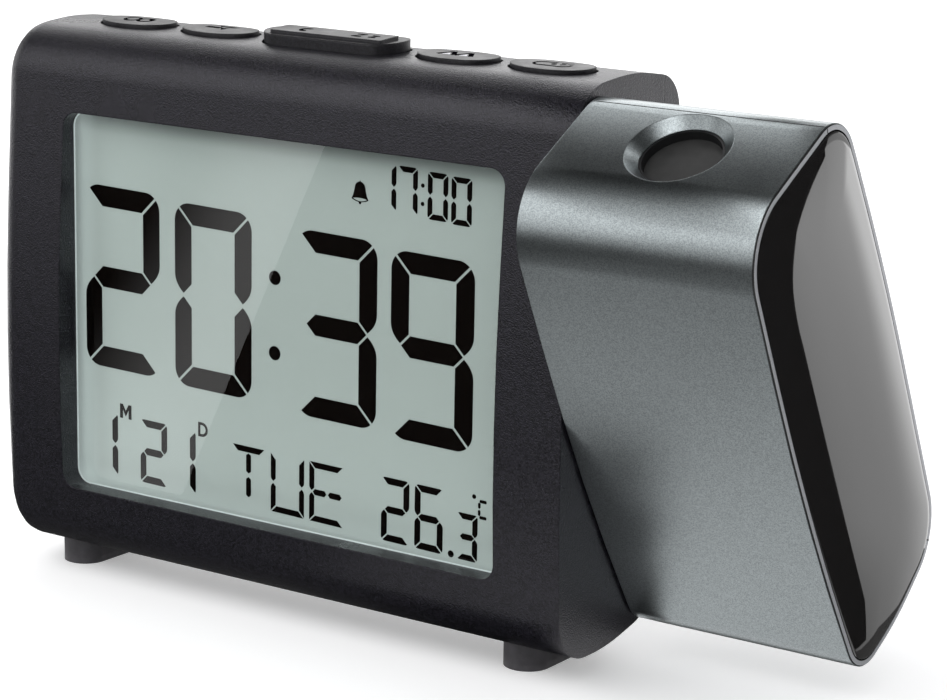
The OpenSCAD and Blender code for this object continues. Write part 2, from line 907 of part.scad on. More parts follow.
module retaining_ring() {
    lug = tan(lug_half_angle);
    color(STEEL) in_head() difference() {
        union() {
            rod_x(ring_x, ring_x + 0.9, bush_r - 0.2);
            intersection() {
                rod_x(ring_x, ring_x + 0.9, bush_r + 1.6);
                along_x(ring_x, ring_x + 0.9) polygon([[0, 0], [-20 * lug, -20], [20 * lug, -20]]);
            }
        }
        rod_x(ring_x - 1, ring_x + 2, spindle_r - 0.6);
    }
}

// The optical axis, pointing up through the head's top
module on_optic(z) {
    in_head() translate([optic_x, optic_y, z]) children();
}

module projector_window() {
    color([0.05, 0.05, 0.06]) on_optic(window_z) cylinder(h = 1.2, r = window_r);
}

// A lens by revolving two arcs: rim thickness, rise of the lower face, rise of the upper face
function cap_arc(r, rise, n = 6) = [for (i = [0:n]) [r * i / n, rise * (1 - pow(i / n, 2))]];
function turned_back(points) = [for (i = [len(points) - 1:-1:0]) points[i]];

module lens(r, rim, below, above) {
    top = [for (p = cap_arc(r, above)) [p.x, p.y + rim]];
    bottom = [for (p = cap_arc(r, below)) [p.x, -p.y]];
    rotate_extrude() polygon(concat(bottom, turned_back(top)));
}

barrel_bore = 6.9;

module projection_lens() {
    color([0.8, 0.85, 0.9, 0.5]) on_optic(30) lens(barrel_bore - 0.05, 1.4, 1.6, 1.9);
}

module lens_barrel() {
    low = 10;
    color([0.08, 0.08, 0.09]) on_optic(0) difference() {
        union() {
            translate([0, 0, low]) cylinder(h = barrel_top_z - low, r = barrel_r);
            translate([0, 0, low]) cylinder(h = 2, r = barrel_r + 1.4);
            translate([0, 0, barrel_top_z - 1]) {
                cylinder(h = sleeve_top_z - barrel_top_z + 1, r = dish_floor_d / 2 - 0.05);
            }
        }
        translate([0, 0, low - 1]) cylinder(h = window_z - 1.2 - low + 1, r = barrel_bore);
        translate([0, 0, window_z - 2]) cylinder(h = 3, r = 5.4);
        translate([0, 0, window_z]) cylinder(h = 5, r = window_r + 0.05);
    }
}

module condenser_lens() {
    color([0.85, 0.9, 0.92, 0.5]) on_optic(5) lens(5.9, 1.6, 0.2, 2.2);
}

module projector_slide() {
    color([0.2, 0.22, 0.24]) on_optic(12) {
        difference() {
            translate([-4.7, -4.7, 0]) cube([9.4, 9.4, 1.1]);
            translate([-3.4, -2, 0.9]) cube([6.8, 4, 1]);
        }
    }
}

module lamp_holder() {
    color([0.1, 0.1, 0.11]) on_optic(0) difference() {
        translate([-8.8, -8.8, 0]) cube([17.6, 17.6, 10]);
        translate([0, 0, -1]) cylinder(h = 5.9, r = 4.4);
        translate([0, 0, 4.8]) cylinder(h = 7, r = 6);
    }
}

module led_board() {
    color(BOARD_GREEN) on_optic(board_shelf_z) difference() {
        translate([-8.8, -8.8, 0]) cube([17.6, 17.6, -board_shelf_z]);
        for (s = [-1, 1]) translate([s * 7, s * 7, -1]) cylinder(h = 4, r = 0.9);
    }
}

module led_emitter() {
    color([0.95, 0.9, 0.7]) on_optic(0) {
        translate([-2.5, -2.5, 0]) cube([5, 5, 1]);
        translate([0, 0, 1]) rotate_extrude() polygon([[0, 0], [1.9, 0], [1.7, 0.8], [1.1, 1.4], [0, 1.6]]);
    }
}

module head_wires() {
    end_x = optic_x - 8.8;
    color([0.75, 0.15, 0.12]) in_head() {
        rod_x(head_x0 + 5.6, end_x, wires_r);
    }
}

module head_screws() {
    color(STEEL) in_head() at_head_posts() screw(head_seat_y, 13, 1.25, 2.5, 1.5);
}

front_housing();
rear_cover();
display_window();
lcd_glass();
lcd_holder();
light_guide();
backlight_leds();
elastomer_strips();
main_board();
clock_chip();
quartz_crystal();
wire_connector();
projector_wires();
key_board();
tact_switches();
board_screws();
feet();
housing_screws();
battery_cells();
battery_springs();
battery_plates();
buzzer();
usb_board();
usb_socket();
temperature_sensor();
pivot_bush();
battery_door();
snooze_bar();
mode_button();
down_button();
up_button();
projector_button();
head_front_shell();
head_rear_shell();
head_end_cap();
pivot_spindle();
friction_washer();
retaining_ring();
projector_window();
projection_lens();
lens_barrel();
condenser_lens();
projector_slide();
lamp_holder();
led_board();
led_emitter();
head_wires();
head_screws();
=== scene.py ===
"""The looks of a projection alarm clock: finishes, display, key marks, end cap, light and camera."""

import math

import bmesh
import bpy
from mathutils import Matrix, Vector
from mathutils.bvhtree import BVHTree


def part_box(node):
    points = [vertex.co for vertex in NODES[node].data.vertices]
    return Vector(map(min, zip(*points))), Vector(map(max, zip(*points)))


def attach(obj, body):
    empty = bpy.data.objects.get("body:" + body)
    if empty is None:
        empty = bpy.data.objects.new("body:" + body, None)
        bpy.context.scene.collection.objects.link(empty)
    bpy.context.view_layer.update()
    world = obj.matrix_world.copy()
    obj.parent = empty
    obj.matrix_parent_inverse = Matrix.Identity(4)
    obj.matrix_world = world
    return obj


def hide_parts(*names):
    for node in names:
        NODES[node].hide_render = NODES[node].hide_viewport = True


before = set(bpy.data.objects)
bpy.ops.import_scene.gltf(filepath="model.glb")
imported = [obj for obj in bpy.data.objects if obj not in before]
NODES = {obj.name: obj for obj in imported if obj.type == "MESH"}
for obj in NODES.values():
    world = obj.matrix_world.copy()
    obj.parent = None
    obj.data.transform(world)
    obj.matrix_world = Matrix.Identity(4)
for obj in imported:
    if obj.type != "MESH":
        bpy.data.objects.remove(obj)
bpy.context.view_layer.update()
MM = 0.001


def node_box(name):
    """Lowest and highest corner of a CAD node, in millimetres."""
    low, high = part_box(name)
    return low / MM, high / MM


WINDOW_INNER_W = 86.3
WINDOW_INNER_H = 62.4


def window_opening():
    """Left, right, bottom and top of the visible window, in millimetres."""
    low, high = node_box("display_window")
    middle = (low + high) / 2
    across, up = WINDOW_INNER_W / 2, WINDOW_INNER_H / 2
    return middle.x - across, middle.x + across, middle.z - up, middle.z + up


def linked(name, data):
    """A new object in the scene that shows the data: a mesh, a light or a camera."""
    made = bpy.data.objects.new(name, data)
    bpy.context.scene.collection.objects.link(made)
    return made


def join_loops(mesh, low, high):
    """Side faces between two closed loops of points."""
    count = len(low)
    for i in range(count):
        j = (i + 1) % count
        mesh.faces.new((low[i], low[j], high[j], high[i]))


def mesh_object(name, mesh, material):
    """The bmesh as an object in the scene, with its faces turned outwards."""
    bmesh.ops.recalc_face_normals(mesh, faces=mesh.faces)
    data = bpy.data.meshes.new(name)
    mesh.to_mesh(data)
    mesh.free()
    data.materials.append(material)
    return linked(name, data)


# ---- camera

CAMERA_AZIMUTH = 34.41
CAMERA_ELEVATION = 13.06
CAMERA_ROLL = 1.06
CAMERA_PLACE = (261.99, -368.12, 149.43)
CAMERA_LENS = 112.67
CAMERA_SENSOR = 36
CAMERA_NEAR = 0.01
CAMERA_FAR = 50


def add_camera():
    """The camera stands where the photograph was taken from."""
    data = bpy.data.cameras.new("camera")
    data.lens = CAMERA_LENS
    data.sensor_width = CAMERA_SENSOR
    data.clip_start = CAMERA_NEAR
    data.clip_end = CAMERA_FAR
    camera = linked("camera", data)
    turn = Matrix.Rotation(math.radians(CAMERA_AZIMUTH), 4, "Z")
    tilt = Matrix.Rotation(math.radians(90 - CAMERA_ELEVATION), 4, "X")
    roll = Matrix.Rotation(math.radians(CAMERA_ROLL), 4, "Z")
    camera.matrix_world = Matrix.Translation(Vector(CAMERA_PLACE) * MM) @ turn @ tilt @ roll
    bpy.context.scene.camera = camera


# ---- finishes


def linear(level):
    """Linear light of an sRGB display level from 0 to 255."""
    share = level / 255
    return share / 12.92 if share <= 0.04045 else ((share + 0.055) / 1.055) ** 2.4


def shade(red, green, blue):
    """A colour written in display levels."""
    return (linear(red), linear(green), linear(blue), 1)


# Colour of the painted light that the LCD and the window's edge give off; no lamp is there.
PAINTED_GLOW_COLOR = shade(226, 240, 238)

# The sockets of a Mix node that hold colours; it has one set of sockets for each kind of data.
MIX_A = 6
MIX_B = 7
MIX_RESULT = 2

# Almost all of a noise lies between these two levels.
NOISE_LOW = 0.3
NOISE_HIGH = 0.7


def new_node(tree, kind, **inputs):
    """A new node with these input values; _ in a socket's name stands for a space."""
    made = tree.nodes.new(kind)
    for socket, value in inputs.items():
        made.inputs[socket.replace("_", " ")].default_value = value
    return made


def show_over_clear(tree, share, shader, tint=(1, 1, 1, 1)):
    """The surface is clear where share is 0 and shows the shader where share is 1."""
    clear = new_node(tree, "ShaderNodeBsdfTransparent", Color=tint)
    mix = new_node(tree, "ShaderNodeMixShader")
    tree.links.new(share, mix.inputs["Fac"])
    tree.links.new(clear.outputs["BSDF"], mix.inputs[1])
    tree.links.new(shader, mix.inputs[2])
    tree.links.new(mix.outputs["Shader"], tree.nodes["Material Output"].inputs["Surface"])


class Finish:
    """A Principled material; its texture nodes work in millimetres of the object."""

    def __init__(self, name, color, roughness, **sockets):
        self.material = bpy.data.materials.new(name)
        self.material.use_nodes = True
        self.tree = self.material.node_tree
        self.shader = self.tree.nodes["Principled BSDF"]
        self.color = color
        self.roughness = roughness
        self.shader.inputs["Base Color"].default_value = color
        self.shader.inputs["Roughness"].default_value = roughness
        for socket, value in sockets.items():
            self.shader.inputs[socket.replace("_", " ")].default_value = value
        place = self.node("ShaderNodeTexCoord")
        scale = self.node("ShaderNodeMapping")
        scale.inputs["Scale"].default_value = (1 / MM, 1 / MM, 1 / MM)
        self.link(place.outputs["Object"], scale.inputs["Vector"])
        self.place = scale.outputs["Vector"]
        self.normal = None

    def node(self, kind, **inputs):
        """A new node in this material."""
        return new_node(self.tree, kind, **inputs)

    def link(self, source, target):
        """The source socket feeds the target socket."""
        self.tree.links.new(source, target)

    def noise(self, size, detail=3.0):
        """Noise from 0 to 1 whose features are about size millimetres across."""
        mapping = self.node("ShaderNodeMapping")
        mapping.inputs["Scale"].default_value = (1 / size, 1 / size, 1 / size)
        noise = self.node("ShaderNodeTexNoise", Scale=1.0, Detail=detail)
        self.link(self.place, mapping.inputs["Vector"])
        self.link(mapping.outputs["Vector"], noise.inputs["Vector"])
        return noise.outputs["Fac"]

    def grains(self, size):
        """A random level from 0 to 1 in each grain, size millimetres across."""
        cells = self.node("ShaderNodeTexVoronoi", Scale=1 / size)
        level = self.node("ShaderNodeSeparateColor")
        self.link(self.place, cells.inputs["Vector"])
        self.link(cells.outputs["Color"], level.inputs["Color"])
        return level.outputs["Red"]

    def between(self, fac, low, high, start=NOISE_LOW, end=NOISE_HIGH, shape="LINEAR"):
        """A number that goes from low to high as fac goes from start to end."""
        sockets = {"From_Min": start, "From_Max": end, "To_Min": low, "To_Max": high}
        span = self.node("ShaderNodeMapRange", **sockets)
        span.interpolation_type = shape
        self.link(fac, span.inputs["Value"])
        return span.outputs["Result"]

    def along(self, axis, start, end, low, high):
        """A number that goes softly from low at start to high at end along axis X, Y or Z."""
        apart = self.node("ShaderNodeSeparateXYZ")
        self.link(self.place, apart.inputs["Vector"])
        return self.between(apart.outputs[axis], low, high, start, end, "SMOOTHSTEP")

    def total(self, *parts):
        """The sum of several sockets."""
        whole = parts[0]
        for part in parts[1:]:
            add = self.node("ShaderNodeMath")
            self.link(whole, add.inputs[0])
            self.link(part, add.inputs[1])
            whole = add.outputs["Value"]
        return whole

    def vary_color(self, fac, low, high, start=NOISE_LOW, end=NOISE_HIGH):
        """The colour's brightness goes from low to high times the colour."""
        mix = self.node("ShaderNodeMix")
        mix.data_type = "RGBA"
        for socket, level in ((MIX_A, low), (MIX_B, high)):
            mix.inputs[socket].default_value = [c * level for c in self.color[:3]] + [1]
        self.link(self.between(fac, 0, 1, start, end), mix.inputs["Factor"])
        self.link(mix.outputs[MIX_RESULT], self.shader.inputs["Base Color"])
        return self

    def vary_roughness(self, fac, spread):
        """The roughness goes spread below and above its own value."""
        level = self.between(fac, self.roughness - spread, self.roughness + spread)
        self.link(level, self.shader.inputs["Roughness"])
        return self

    def round_edges(self, radius):
        """Edges catch the light as if they were rounded by radius millimetres."""
        bevel = self.node("ShaderNodeBevel", Radius=radius * MM)
        bevel.samples = 4
        self.normal = bevel.outputs["Normal"]
        self.link(self.normal, self.shader.inputs["Normal"])
        return self

    def bump(self, fac, height, strength=1.0):
        """The surface rises by height millimetres where fac is 1."""
        bump = self.node("ShaderNodeBump", Strength=strength, Distance=height * MM)
        self.link(fac, bump.inputs["Height"])
        if self.normal is not None:
            self.link(self.normal, bump.inputs["Normal"])
        self.normal = bump.outputs["Normal"]
        self.link(self.normal, self.shader.inputs["Normal"])
        return self

    def glow(self, color, strength=0.0):
        """The surface shines a little by itself: painted light, as no lamp is there."""
        self.shader.inputs["Emission Color"].default_value = color
        self.shader.inputs["Emission Strength"].default_value = strength
        return self


def housing_plastic():
    """Charcoal plastic with the fine even grain of an eroded mould."""
    sockets = {"Specular_IOR_Level": 0.6, "Specular_Tint": (0.95, 0.94, 1, 1)}
    made = Finish("housing_plastic", shade(25, 24, 30), 0.3, **sockets)
    made.round_edges(0.3)
    made.bump(made.noise(0.22, 1), 0.075)
    made.vary_roughness(made.noise(14), 0.04)
    return made.vary_color(made.grains(0.26), 0.35, 1.65, start=0, end=1)


def key_plastic():
    """The keys: nearly the housing's charcoal, with a shallower grain and softer edges."""
    made = Finish("key_plastic", shade(27, 26, 31), 0.42, Specular_IOR_Level=0.45)
    made.round_edges(0.5)
    made.bump(made.noise(0.24, 1), 0.03, 0.8)
    made.vary_roughness(made.noise(3), 0.06)
    return made.vary_color(made.grains(0.26), 0.5, 1.5, start=0, end=1)


def head_paint():
    """Gunmetal paint with fine metal flakes."""
    made = Finish("head_paint", shade(158, 165, 167), 0.3, Metallic=1.0)
    made.round_edges(0.2)
    made.bump(made.noise(0.15, 1), 0.0105, 0.9)
    made.vary_roughness(made.noise(9), 0.015)
    return made.vary_color(made.grains(0.12), 0.74, 1.26, start=0, end=1)


def piano_black():
    """Polished black plastic, very slightly uneven."""
    made = Finish("piano_black", shade(30, 29, 29), 0.04, Coat_Weight=1.0, Coat_Roughness=0.02)
    made.round_edges(0.3)
    made.vary_roughness(made.noise(9), 0.015)
    return made.vary_color(made.noise(0.8), 0.9, 1.1)


# How far the LCD's painted light reaches from its left and lower edges: a bright rim, and a wide
# faint spread.
LCD_PAINTED_LEFT_RIM = 4.2
LCD_PAINTED_LEFT_SPREAD = 26
LCD_PAINTED_LOWER_RIM = 4
LCD_PAINTED_LOWER_SPREAD = 34
# Painted shade on the LCD starts this far below its upper edge, darkest at the second distance.
LCD_PAINTED_SHADE_START = 3.8
LCD_PAINTED_SHADE_END = 0.3


def lcd_cell():
    """The liquid crystal's grey-green, with painted shade under the upper edge and painted light
    glowing at the left and below.
    """
    left, _, bottom, top = window_opening()
    made = Finish("lcd_cell", shade(178, 188, 183), 0.42, Specular_IOR_Level=0.1)
    made.glow(PAINTED_GLOW_COLOR)
    # Painted light: the LCD glows along its left and lower edges, where the recess shades it.
    painted_light = (
        made.along("X", left, left + LCD_PAINTED_LEFT_RIM, 0.16, 0),
        made.along("X", left, left + LCD_PAINTED_LEFT_SPREAD, 0.07, 0),
        made.along("Z", bottom, bottom + LCD_PAINTED_LOWER_RIM, 0.1, 0),
        made.along("Z", bottom, bottom + LCD_PAINTED_LOWER_SPREAD, 0.09, 0.01),
    )
    made.link(made.total(*painted_light), made.shader.inputs["Emission Strength"])
    # Painted shade: the colour darkens towards the upper edge.
    lit = made.along("Z", top - LCD_PAINTED_SHADE_START, top - LCD_PAINTED_SHADE_END, 1, 0)
    made.vary_color(lit, 0.35, 1, start=0, end=1)
    return made.bump(made.noise(0.12, 1), 0.002, 0.2)


def segment_ink():
    """Switched-on segments."""
    made = Finish("segment_ink", shade(12, 7, 5), 0.6, Specular_IOR_Level=0.05)
    return made.vary_color(made.noise(0.5), 0.9, 1.1)


def window_clear():
    """The clear plate: what is behind it shows, with a sharp reflection on its outer side only.

    It mixes a transparent and a glossy shader in the place of the Principled one.
    """
    made = Finish("window_clear", shade(235, 240, 240), 0.05)
    gloss = made.node("ShaderNodeBsdfGlossy", Roughness=0.0)
    share = made.node("ShaderNodeFresnel", IOR=1.45)
    side = made.node("ShaderNodeNewGeometry")
    front_only = made.node("ShaderNodeMix", B=0)
    made.link(side.outputs["Backfacing"], front_only.inputs["Factor"])
    made.link(share.outputs["Fac"], front_only.inputs["A"])
    tint = (0.97, 0.98, 0.98, 1)
    show_over_clear(made.tree, front_only.outputs["Result"], gloss.outputs["BSDF"], tint)
    return made


def lens_window():
    """Smoky glass at the bottom of the lens dish."""
    made = Finish("lens_window", shade(54, 54, 54), 0.4, Specular_IOR_Level=0.3)
    made.vary_roughness(made.noise(5), 0.03)
    return made.vary_color(made.noise(2), 0.85, 1.15)


def foot_rubber():
    """Soft black rubber with a dusty bloom."""
    made = Finish("foot_rubber", shade(66, 64, 68), 0.68, Sheen_Weight=0.25)
    made.bump(made.noise(0.5, 3), 0.03, 0.6)
    made.vary_roughness(made.noise(4), 0.08)
    return made.vary_color(made.noise(1.5), 0.8, 1.2)


PLAIN_GRAIN = 0.6


def plain(name, color, roughness, **sockets):
    """A moulded or machined surface with a little grain, for the parts that are mostly hidden."""
    made = Finish(name, color, roughness, **sockets)
    made.bump(made.noise(PLAIN_GRAIN, 2), 0.01, 0.4)
    made.vary_roughness(made.noise(5), 0.05)
    return made.vary_color(made.noise(PLAIN_GRAIN * 3), 0.88, 1.12)


def finishes():
    """The Blender material of every material slot in the record."""
    made = [
        housing_plastic(),
        head_paint(),
        piano_black(),
        key_plastic(),
        window_clear(),
        plain("lens_clear", shade(225, 232, 236), 0.05, Transmission_Weight=0.9),
        lens_window(),
        lcd_cell(),
        plain("slide_glass", shade(90, 98, 100), 0.1),
        plain("white_plastic", shade(222, 222, 216), 0.5),
        plain("guide_acrylic", shade(226, 232, 230), 0.2),
        plain("led", shade(236, 230, 190), 0.3),
        plain("elastomer", shade(200, 150, 150), 0.7),
        plain("circuit_board", shade(24, 88, 52), 0.4),
        plain("black_plastic", shade(28, 28, 30), 0.5),
        plain("epoxy", shade(16, 16, 18), 0.25),
        plain("bright_steel", shade(196, 198, 200), 0.28, Metallic=1.0),
        plain("wire_sheath", shade(150, 36, 32), 0.45),
        foot_rubber(),
        plain("cell_jacket", shade(70, 120, 84), 0.3),
        plain("bush_plastic", shade(214, 210, 196), 0.45),
    ]
    return [finish.material for finish in made]


# ---- smooth CAD surfaces

SMOOTH_ANGLE = 24
MERGE_DISTANCE = 0.002


def smooth_group():
    """A node group that joins doubled points and keeps only edges over SMOOTH_ANGLE sharp."""
    group = bpy.data.node_groups.new("smooth_by_angle", "GeometryNodeTree")
    group.interface.new_socket("Mesh", in_out="INPUT", socket_type="NodeSocketGeometry")
    group.interface.new_socket("Mesh", in_out="OUTPUT", socket_type="NodeSocketGeometry")
    start = group.nodes.new("NodeGroupInput")
    merge = group.nodes.new("GeometryNodeMergeByDistance")
    merge.inputs["Distance"].default_value = MERGE_DISTANCE * MM
    angle = group.nodes.new("GeometryNodeInputMeshEdgeAngle")
    sharp = group.nodes.new("FunctionNodeCompare")
    sharp.data_type = "FLOAT"
    sharp.operation = "GREATER_THAN"
    sharp.inputs["B"].default_value = math.radians(SMOOTH_ANGLE)
    normal = group.nodes.new("GeometryNodeSetMeshNormal")
    normal.mode = "SHARPNESS"
    end = group.nodes.new("NodeGroupOutput")
    links = group.links
    links.new(start.outputs["Mesh"], merge.inputs["Geometry"])
    links.new(merge.outputs["Geometry"], normal.inputs["Mesh"])
    links.new(angle.outputs["Unsigned Angle"], sharp.inputs["A"])
    links.new(sharp.outputs["Result"], normal.inputs["Edge Sharpness"])
    links.new(normal.outputs["Mesh"], end.inputs["Mesh"])
    return group


def smooth(obj, group):
    """Facets of rounded CAD surfaces shade as one surface; flat faces stay flat."""
    modifier = obj.modifiers.new("smooth", "NODES")
    modifier.node_group = group
    weighted = obj.modifiers.new("weighted", "WEIGHTED_NORMAL")
    weighted.keep_sharp = True


def slot_of(material):
    """The slot that a material is named after, without the number that Blender may add."""
    return material.name.split(".")[0]


def dress_nodes():
    """Every CAD node gets the finish of its material slot, and smooth shading."""
    slots = {slot_of(material): material for material in finishes()}
    group = smooth_group()
    for obj in NODES.values():
        obj.data.materials[0] = slots[slot_of(obj.data.materials[0])]
        smooth(obj, group)
    return slots


# ---- outlines and flat artwork

ARC_STEPS = 8


def arc(cx, cy, radius, start, end, steps=ARC_STEPS):
    """Points on a circle, angles in degrees."""
    angles = [math.radians(start + (end - start) * i / steps) for i in range(steps + 1)]
    return [(cx + radius * math.cos(a), cy + radius * math.sin(a)) for a in angles]


def curve(start, control, end, steps=ARC_STEPS):
    """Points on a quadratic curve."""
    points = []
    for i in range(steps + 1):
        t = i / steps
        weights = ((1 - t) ** 2, 2 * t * (1 - t), t * t)
        x, y = (sum(w * p[k] for w, p in zip(weights, (start, control, end))) for k in (0, 1))
        points.append((x, y))
    return points


def mirrored(points, width=None, height=None):
    """The points mirrored left to right about width / 2, or top to bottom about height / 2."""
    if width is not None:
        points = [(width - x, y) for x, y in points]
    if height is not None:
        points = [(x, height - y) for x, y in points]
    return points


# The segments that each digit lights, named a to g clockwise from the top, with g in the middle.
OUTLINES = {
    "0": "abcdef",
    "1": "bc",
    "2": "abged",
    "3": "abgcd",
    "6": "afgedc",
    "7": "abc",
    "9": "abcdfg",
}


def segment(name, width, height, stroke, corner, gap):
    """The outline of segment a to g of a seven-segment digit, from its lower left corner."""
    slip = gap * math.sqrt(0.5)
    trim = math.degrees(gap / 2 / corner)
    middle = height / 2
    if name in "ad":
        left = arc(corner, height - corner, corner, 135 - trim, 90)
        right = mirrored(left, width)[::-1]
        inner = [(width - stroke - slip, height - stroke), (stroke + slip, height - stroke)]
        points = left + right + inner
        return points if name == "a" else mirrored(points, height=height)
    if name == "g":
        tip, shoulder = stroke / 2 + slip, stroke + slip
        left = [(shoulder, middle - stroke / 2), (tip, middle), (shoulder, middle + stroke / 2)]
        return left + mirrored(left, width)[::-1]
    outer = arc(corner, height - corner, corner, 135 + trim, 180)
    point = (stroke * 0.52, middle + slip)
    flank = curve((0, middle + stroke), (0, middle + stroke * 0.5), point)
    inner = [(stroke, middle + stroke * 0.48 + slip), (stroke, height - stroke - slip)]
    points = outer + flank + inner
    if name in "bc":
        points = mirrored(points, width)
    return points if name in "bf" else mirrored(points, height=height)


class Artwork:
    """Flat outlines that are gathered into one thin mesh on a surface."""

    def __init__(self, name, to_frame, thickness):
        self.name = name
        self.to_frame = to_frame
        self.thickness = thickness
        self.mesh = bmesh.new()

    def loop(self, outline, height):
        """The outline as mesh points, this high over the surface."""
        return [self.mesh.verts.new(Vector(self.to_frame(x, y, height)) * MM) for x, y in outline]

    def add(self, points, dx=0.0, dy=0.0):
        """One filled outline, in millimetres on the surface."""
        places = [(x + dx, y + dy) for x, y in points]
        area = sum(a[0] * b[1] - b[0] * a[1] for a, b in zip(places, places[1:] + places[:1]))
        if area < 0:
            places = places[::-1]
        low = self.loop(places, 0)
        high = self.loop(places, self.thickness)
        self.mesh.faces.new(high)
        self.mesh.faces.new(low[::-1])
        join_loops(self.mesh, low, high)

    def digit(self, mark, x, y, width, height, stroke, corner, gap):
        """A seven-segment digit centred on x, y."""
        for name in OUTLINES[mark]:
            outline = segment(name, width, height, stroke, corner, gap)
            self.add(outline, x - width / 2, y - height / 2)

    def bar(self, x0, y0, x1, y1, nose):
        """An upright or level bar whose ends are pointed by nose millimetres."""
        if x1 - x0 < y1 - y0:
            mid = (x0 + x1) / 2
            right = [(x1, y0 + nose), (x1, y1 - nose)]
            left = [(x0, y1 - nose), (x0, y0 + nose)]
            self.add([(mid, y0)] + right + [(mid, y1)] + left)
        else:
            mid = (y0 + y1) / 2
            below = [(x0 + nose, y0), (x1 - nose, y0)]
            above = [(x1 - nose, y1), (x0 + nose, y1)]
            self.add(below + [(x1, mid)] + above + [(x0, mid)])

    def dot(self, x, y, radius):
        """A round dot with 24 corners."""
        self.add(arc(x, y, radius, 0, 360 - 15, 23))

    def bow(self, x, y, radius, stroke, start, end):
        """A stroke bent round x, y from one angle to another."""
        outer = arc(x, y, radius, start, end, 16)
        inner = arc(x, y, radius - stroke, end, start, 16)
        self.add(outer + inner)

    def ring(self, x, y, radius, stroke):
        """A closed ring, as two half bows."""
        self.bow(x, y, radius, stroke, 0, 180)
        self.bow(x, y, radius, stroke, 180, 360)

    def line(self, start, end, stroke):
        """A straight stroke between two points."""
        along = Vector(end) - Vector(start)
        side = Vector((-along.y, along.x)).normalized() * stroke / 2
        start_corners = [Vector(start) + side, Vector(start) - side]
        end_corners = [Vector(end) - side, Vector(end) + side]
        self.add([tuple(c) for c in start_corners + end_corners])

    def path(self, points, stroke):
        """Straight strokes from each point to the next."""
        for start, end in zip(points, points[1:]):
            self.line(start, end, stroke)

    def frame(self, outer, inner):
        """The flat band between two closed outlines that have the same number of points."""
        steps = ((outer, 0), (outer, self.thickness), (inner, self.thickness), (inner, 0))
        loops = [self.loop(outline, height) for outline, height in steps]
        for low, high in zip(loops, loops[1:] + loops[:1]):
            join_loops(self.mesh, low, high)

    def finish(self, body, material, slot):
        """The mesh becomes a piece that rides on the body."""
        made = mesh_object(self.name, self.mesh, material)
        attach(made, body)


# ---- display

# Places on the display are millimetres right of and above the lower left corner of the window.
SEGMENT_THICKNESS = 0.04
LCD_SLOPE = 0.02

TIME_DIGIT = {"width": 15.6, "height": 29.8, "stroke": 3.4, "corner": 3.0, "gap": 0.42}
TIME_DIGITS = (("2", 8.75, 34.4), ("0", 27.8, 34.0), ("3", 52.5, 33.3), ("9", 70.7, 32.8))
TIME_COLON_X = 40.35
TIME_COLON = (39.6, 27.45)
TIME_DOT = 1.15

ALARM_DIGIT = {"width": 3.75, "height": 7.3, "stroke": 0.88, "corner": 0.7, "gap": 0.2}
ALARM_DIGITS = (("1", 61.8, 57.0), ("7", 65.8, 56.9), ("0", 71.4, 56.7), ("0", 75.75, 56.55))
ALARM_COLON_X = 68.6
ALARM_COLON = (58.05, 55.25)
ALARM_DOT = 0.33

DATE_DIGIT = {"width": 5.7, "height": 10.7, "stroke": 1.2, "corner": 0.8, "gap": 0.26}
DATE_DIGITS = (("1", 4.6), ("2", 15.2), ("1", 21.25))
DATE_Y = 6.4

DEGREE_DIGIT = {"width": 5.35, "height": 10.3, "stroke": 1.1, "corner": 0.8, "gap": 0.24}
DEGREE_DIGITS = (("2", 64.2), ("6", 70.6))
DEGREE_Y = 6.3
TENTH_DIGIT = {"width": 3.85, "height": 7.45, "stroke": 0.95, "corner": 0.6, "gap": 0.2}
TENTH_PLACE = (77.8, 4.85)
DECIMAL_POINT = (74.85, 1.6, 0.55)
DEGREE_SIGN = (79.0, 11.55, 0.36)
LETTER_C_LEVEL = ((80.0, 10.75, 81.35, 11.25), (80.0, 8.2, 81.35, 8.7))
LETTER_C_UPRIGHT = ((79.75, 9.8, 80.2, 10.8), (79.75, 8.65, 80.2, 9.65))

WEEKDAY_LETTER = {"width": 6.7, "height": 9.75, "stroke": 0.98, "corner": 0.12, "gap": 0.26}
WEEKDAY_BASE = 1.45
LETTER_T_X = 31.75
LETTER_U_X = 39.65
LETTER_E_X = 47.4

BELL_PLACE = (56.85, 54.45)
LETTER_M_PLACE = (7.95, 11.15)
LETTER_D_PLACE = (24.65, 11.05)
LETTER_HEIGHT = 2.4


def lcd_place():
    """A function from a place on the display to the frame; rows slope down a little to the right."""
    left, _, bottom, _ = window_opening()
    glass_low, _ = node_box("lcd_glass")

    def to_frame(x, y, height):
        drop = LCD_SLOPE * (x - WINDOW_INNER_W / 2)
        return left + x, glass_low.y - height, bottom + y - drop

    return to_frame


def draw_time(art):
    """20:39, whose digits are drawn a little larger towards the left."""
    for mark, x, y in TIME_DIGITS:
        grow = 1.02 - 0.0004 * x
        size = dict(TIME_DIGIT)
        for side in ("width", "height", "stroke"):
            size[side] *= grow
        art.digit(mark, x, y, **size)
    for y in TIME_COLON:
        art.dot(TIME_COLON_X, y, TIME_DOT)


def draw_alarm(art):
    """The alarm time, 17:00."""
    for mark, x, y in ALARM_DIGITS:
        art.digit(mark, x, y, **ALARM_DIGIT)
    for y in ALARM_COLON:
        art.dot(ALARM_COLON_X, y, ALARM_DOT)


def draw_date(art):
    """Month 1 and day 21."""
    for mark, x in DATE_DIGITS:
        art.digit(mark, x, DATE_Y, **DATE_DIGIT)


def draw_temperature(art):
    """26.3 with a degree sign and a small C."""
    for mark, x in DEGREE_DIGITS:
        art.digit(mark, x, DEGREE_Y, **DEGREE_DIGIT)
    art.digit("3", *TENTH_PLACE, **TENTH_DIGIT)
    art.dot(*DECIMAL_POINT)
    art.dot(*DEGREE_SIGN)
    for corners in LETTER_C_LEVEL:
        art.bar(*corners, 0.14)
    for corners in LETTER_C_UPRIGHT:
        art.bar(*corners, 0.18)


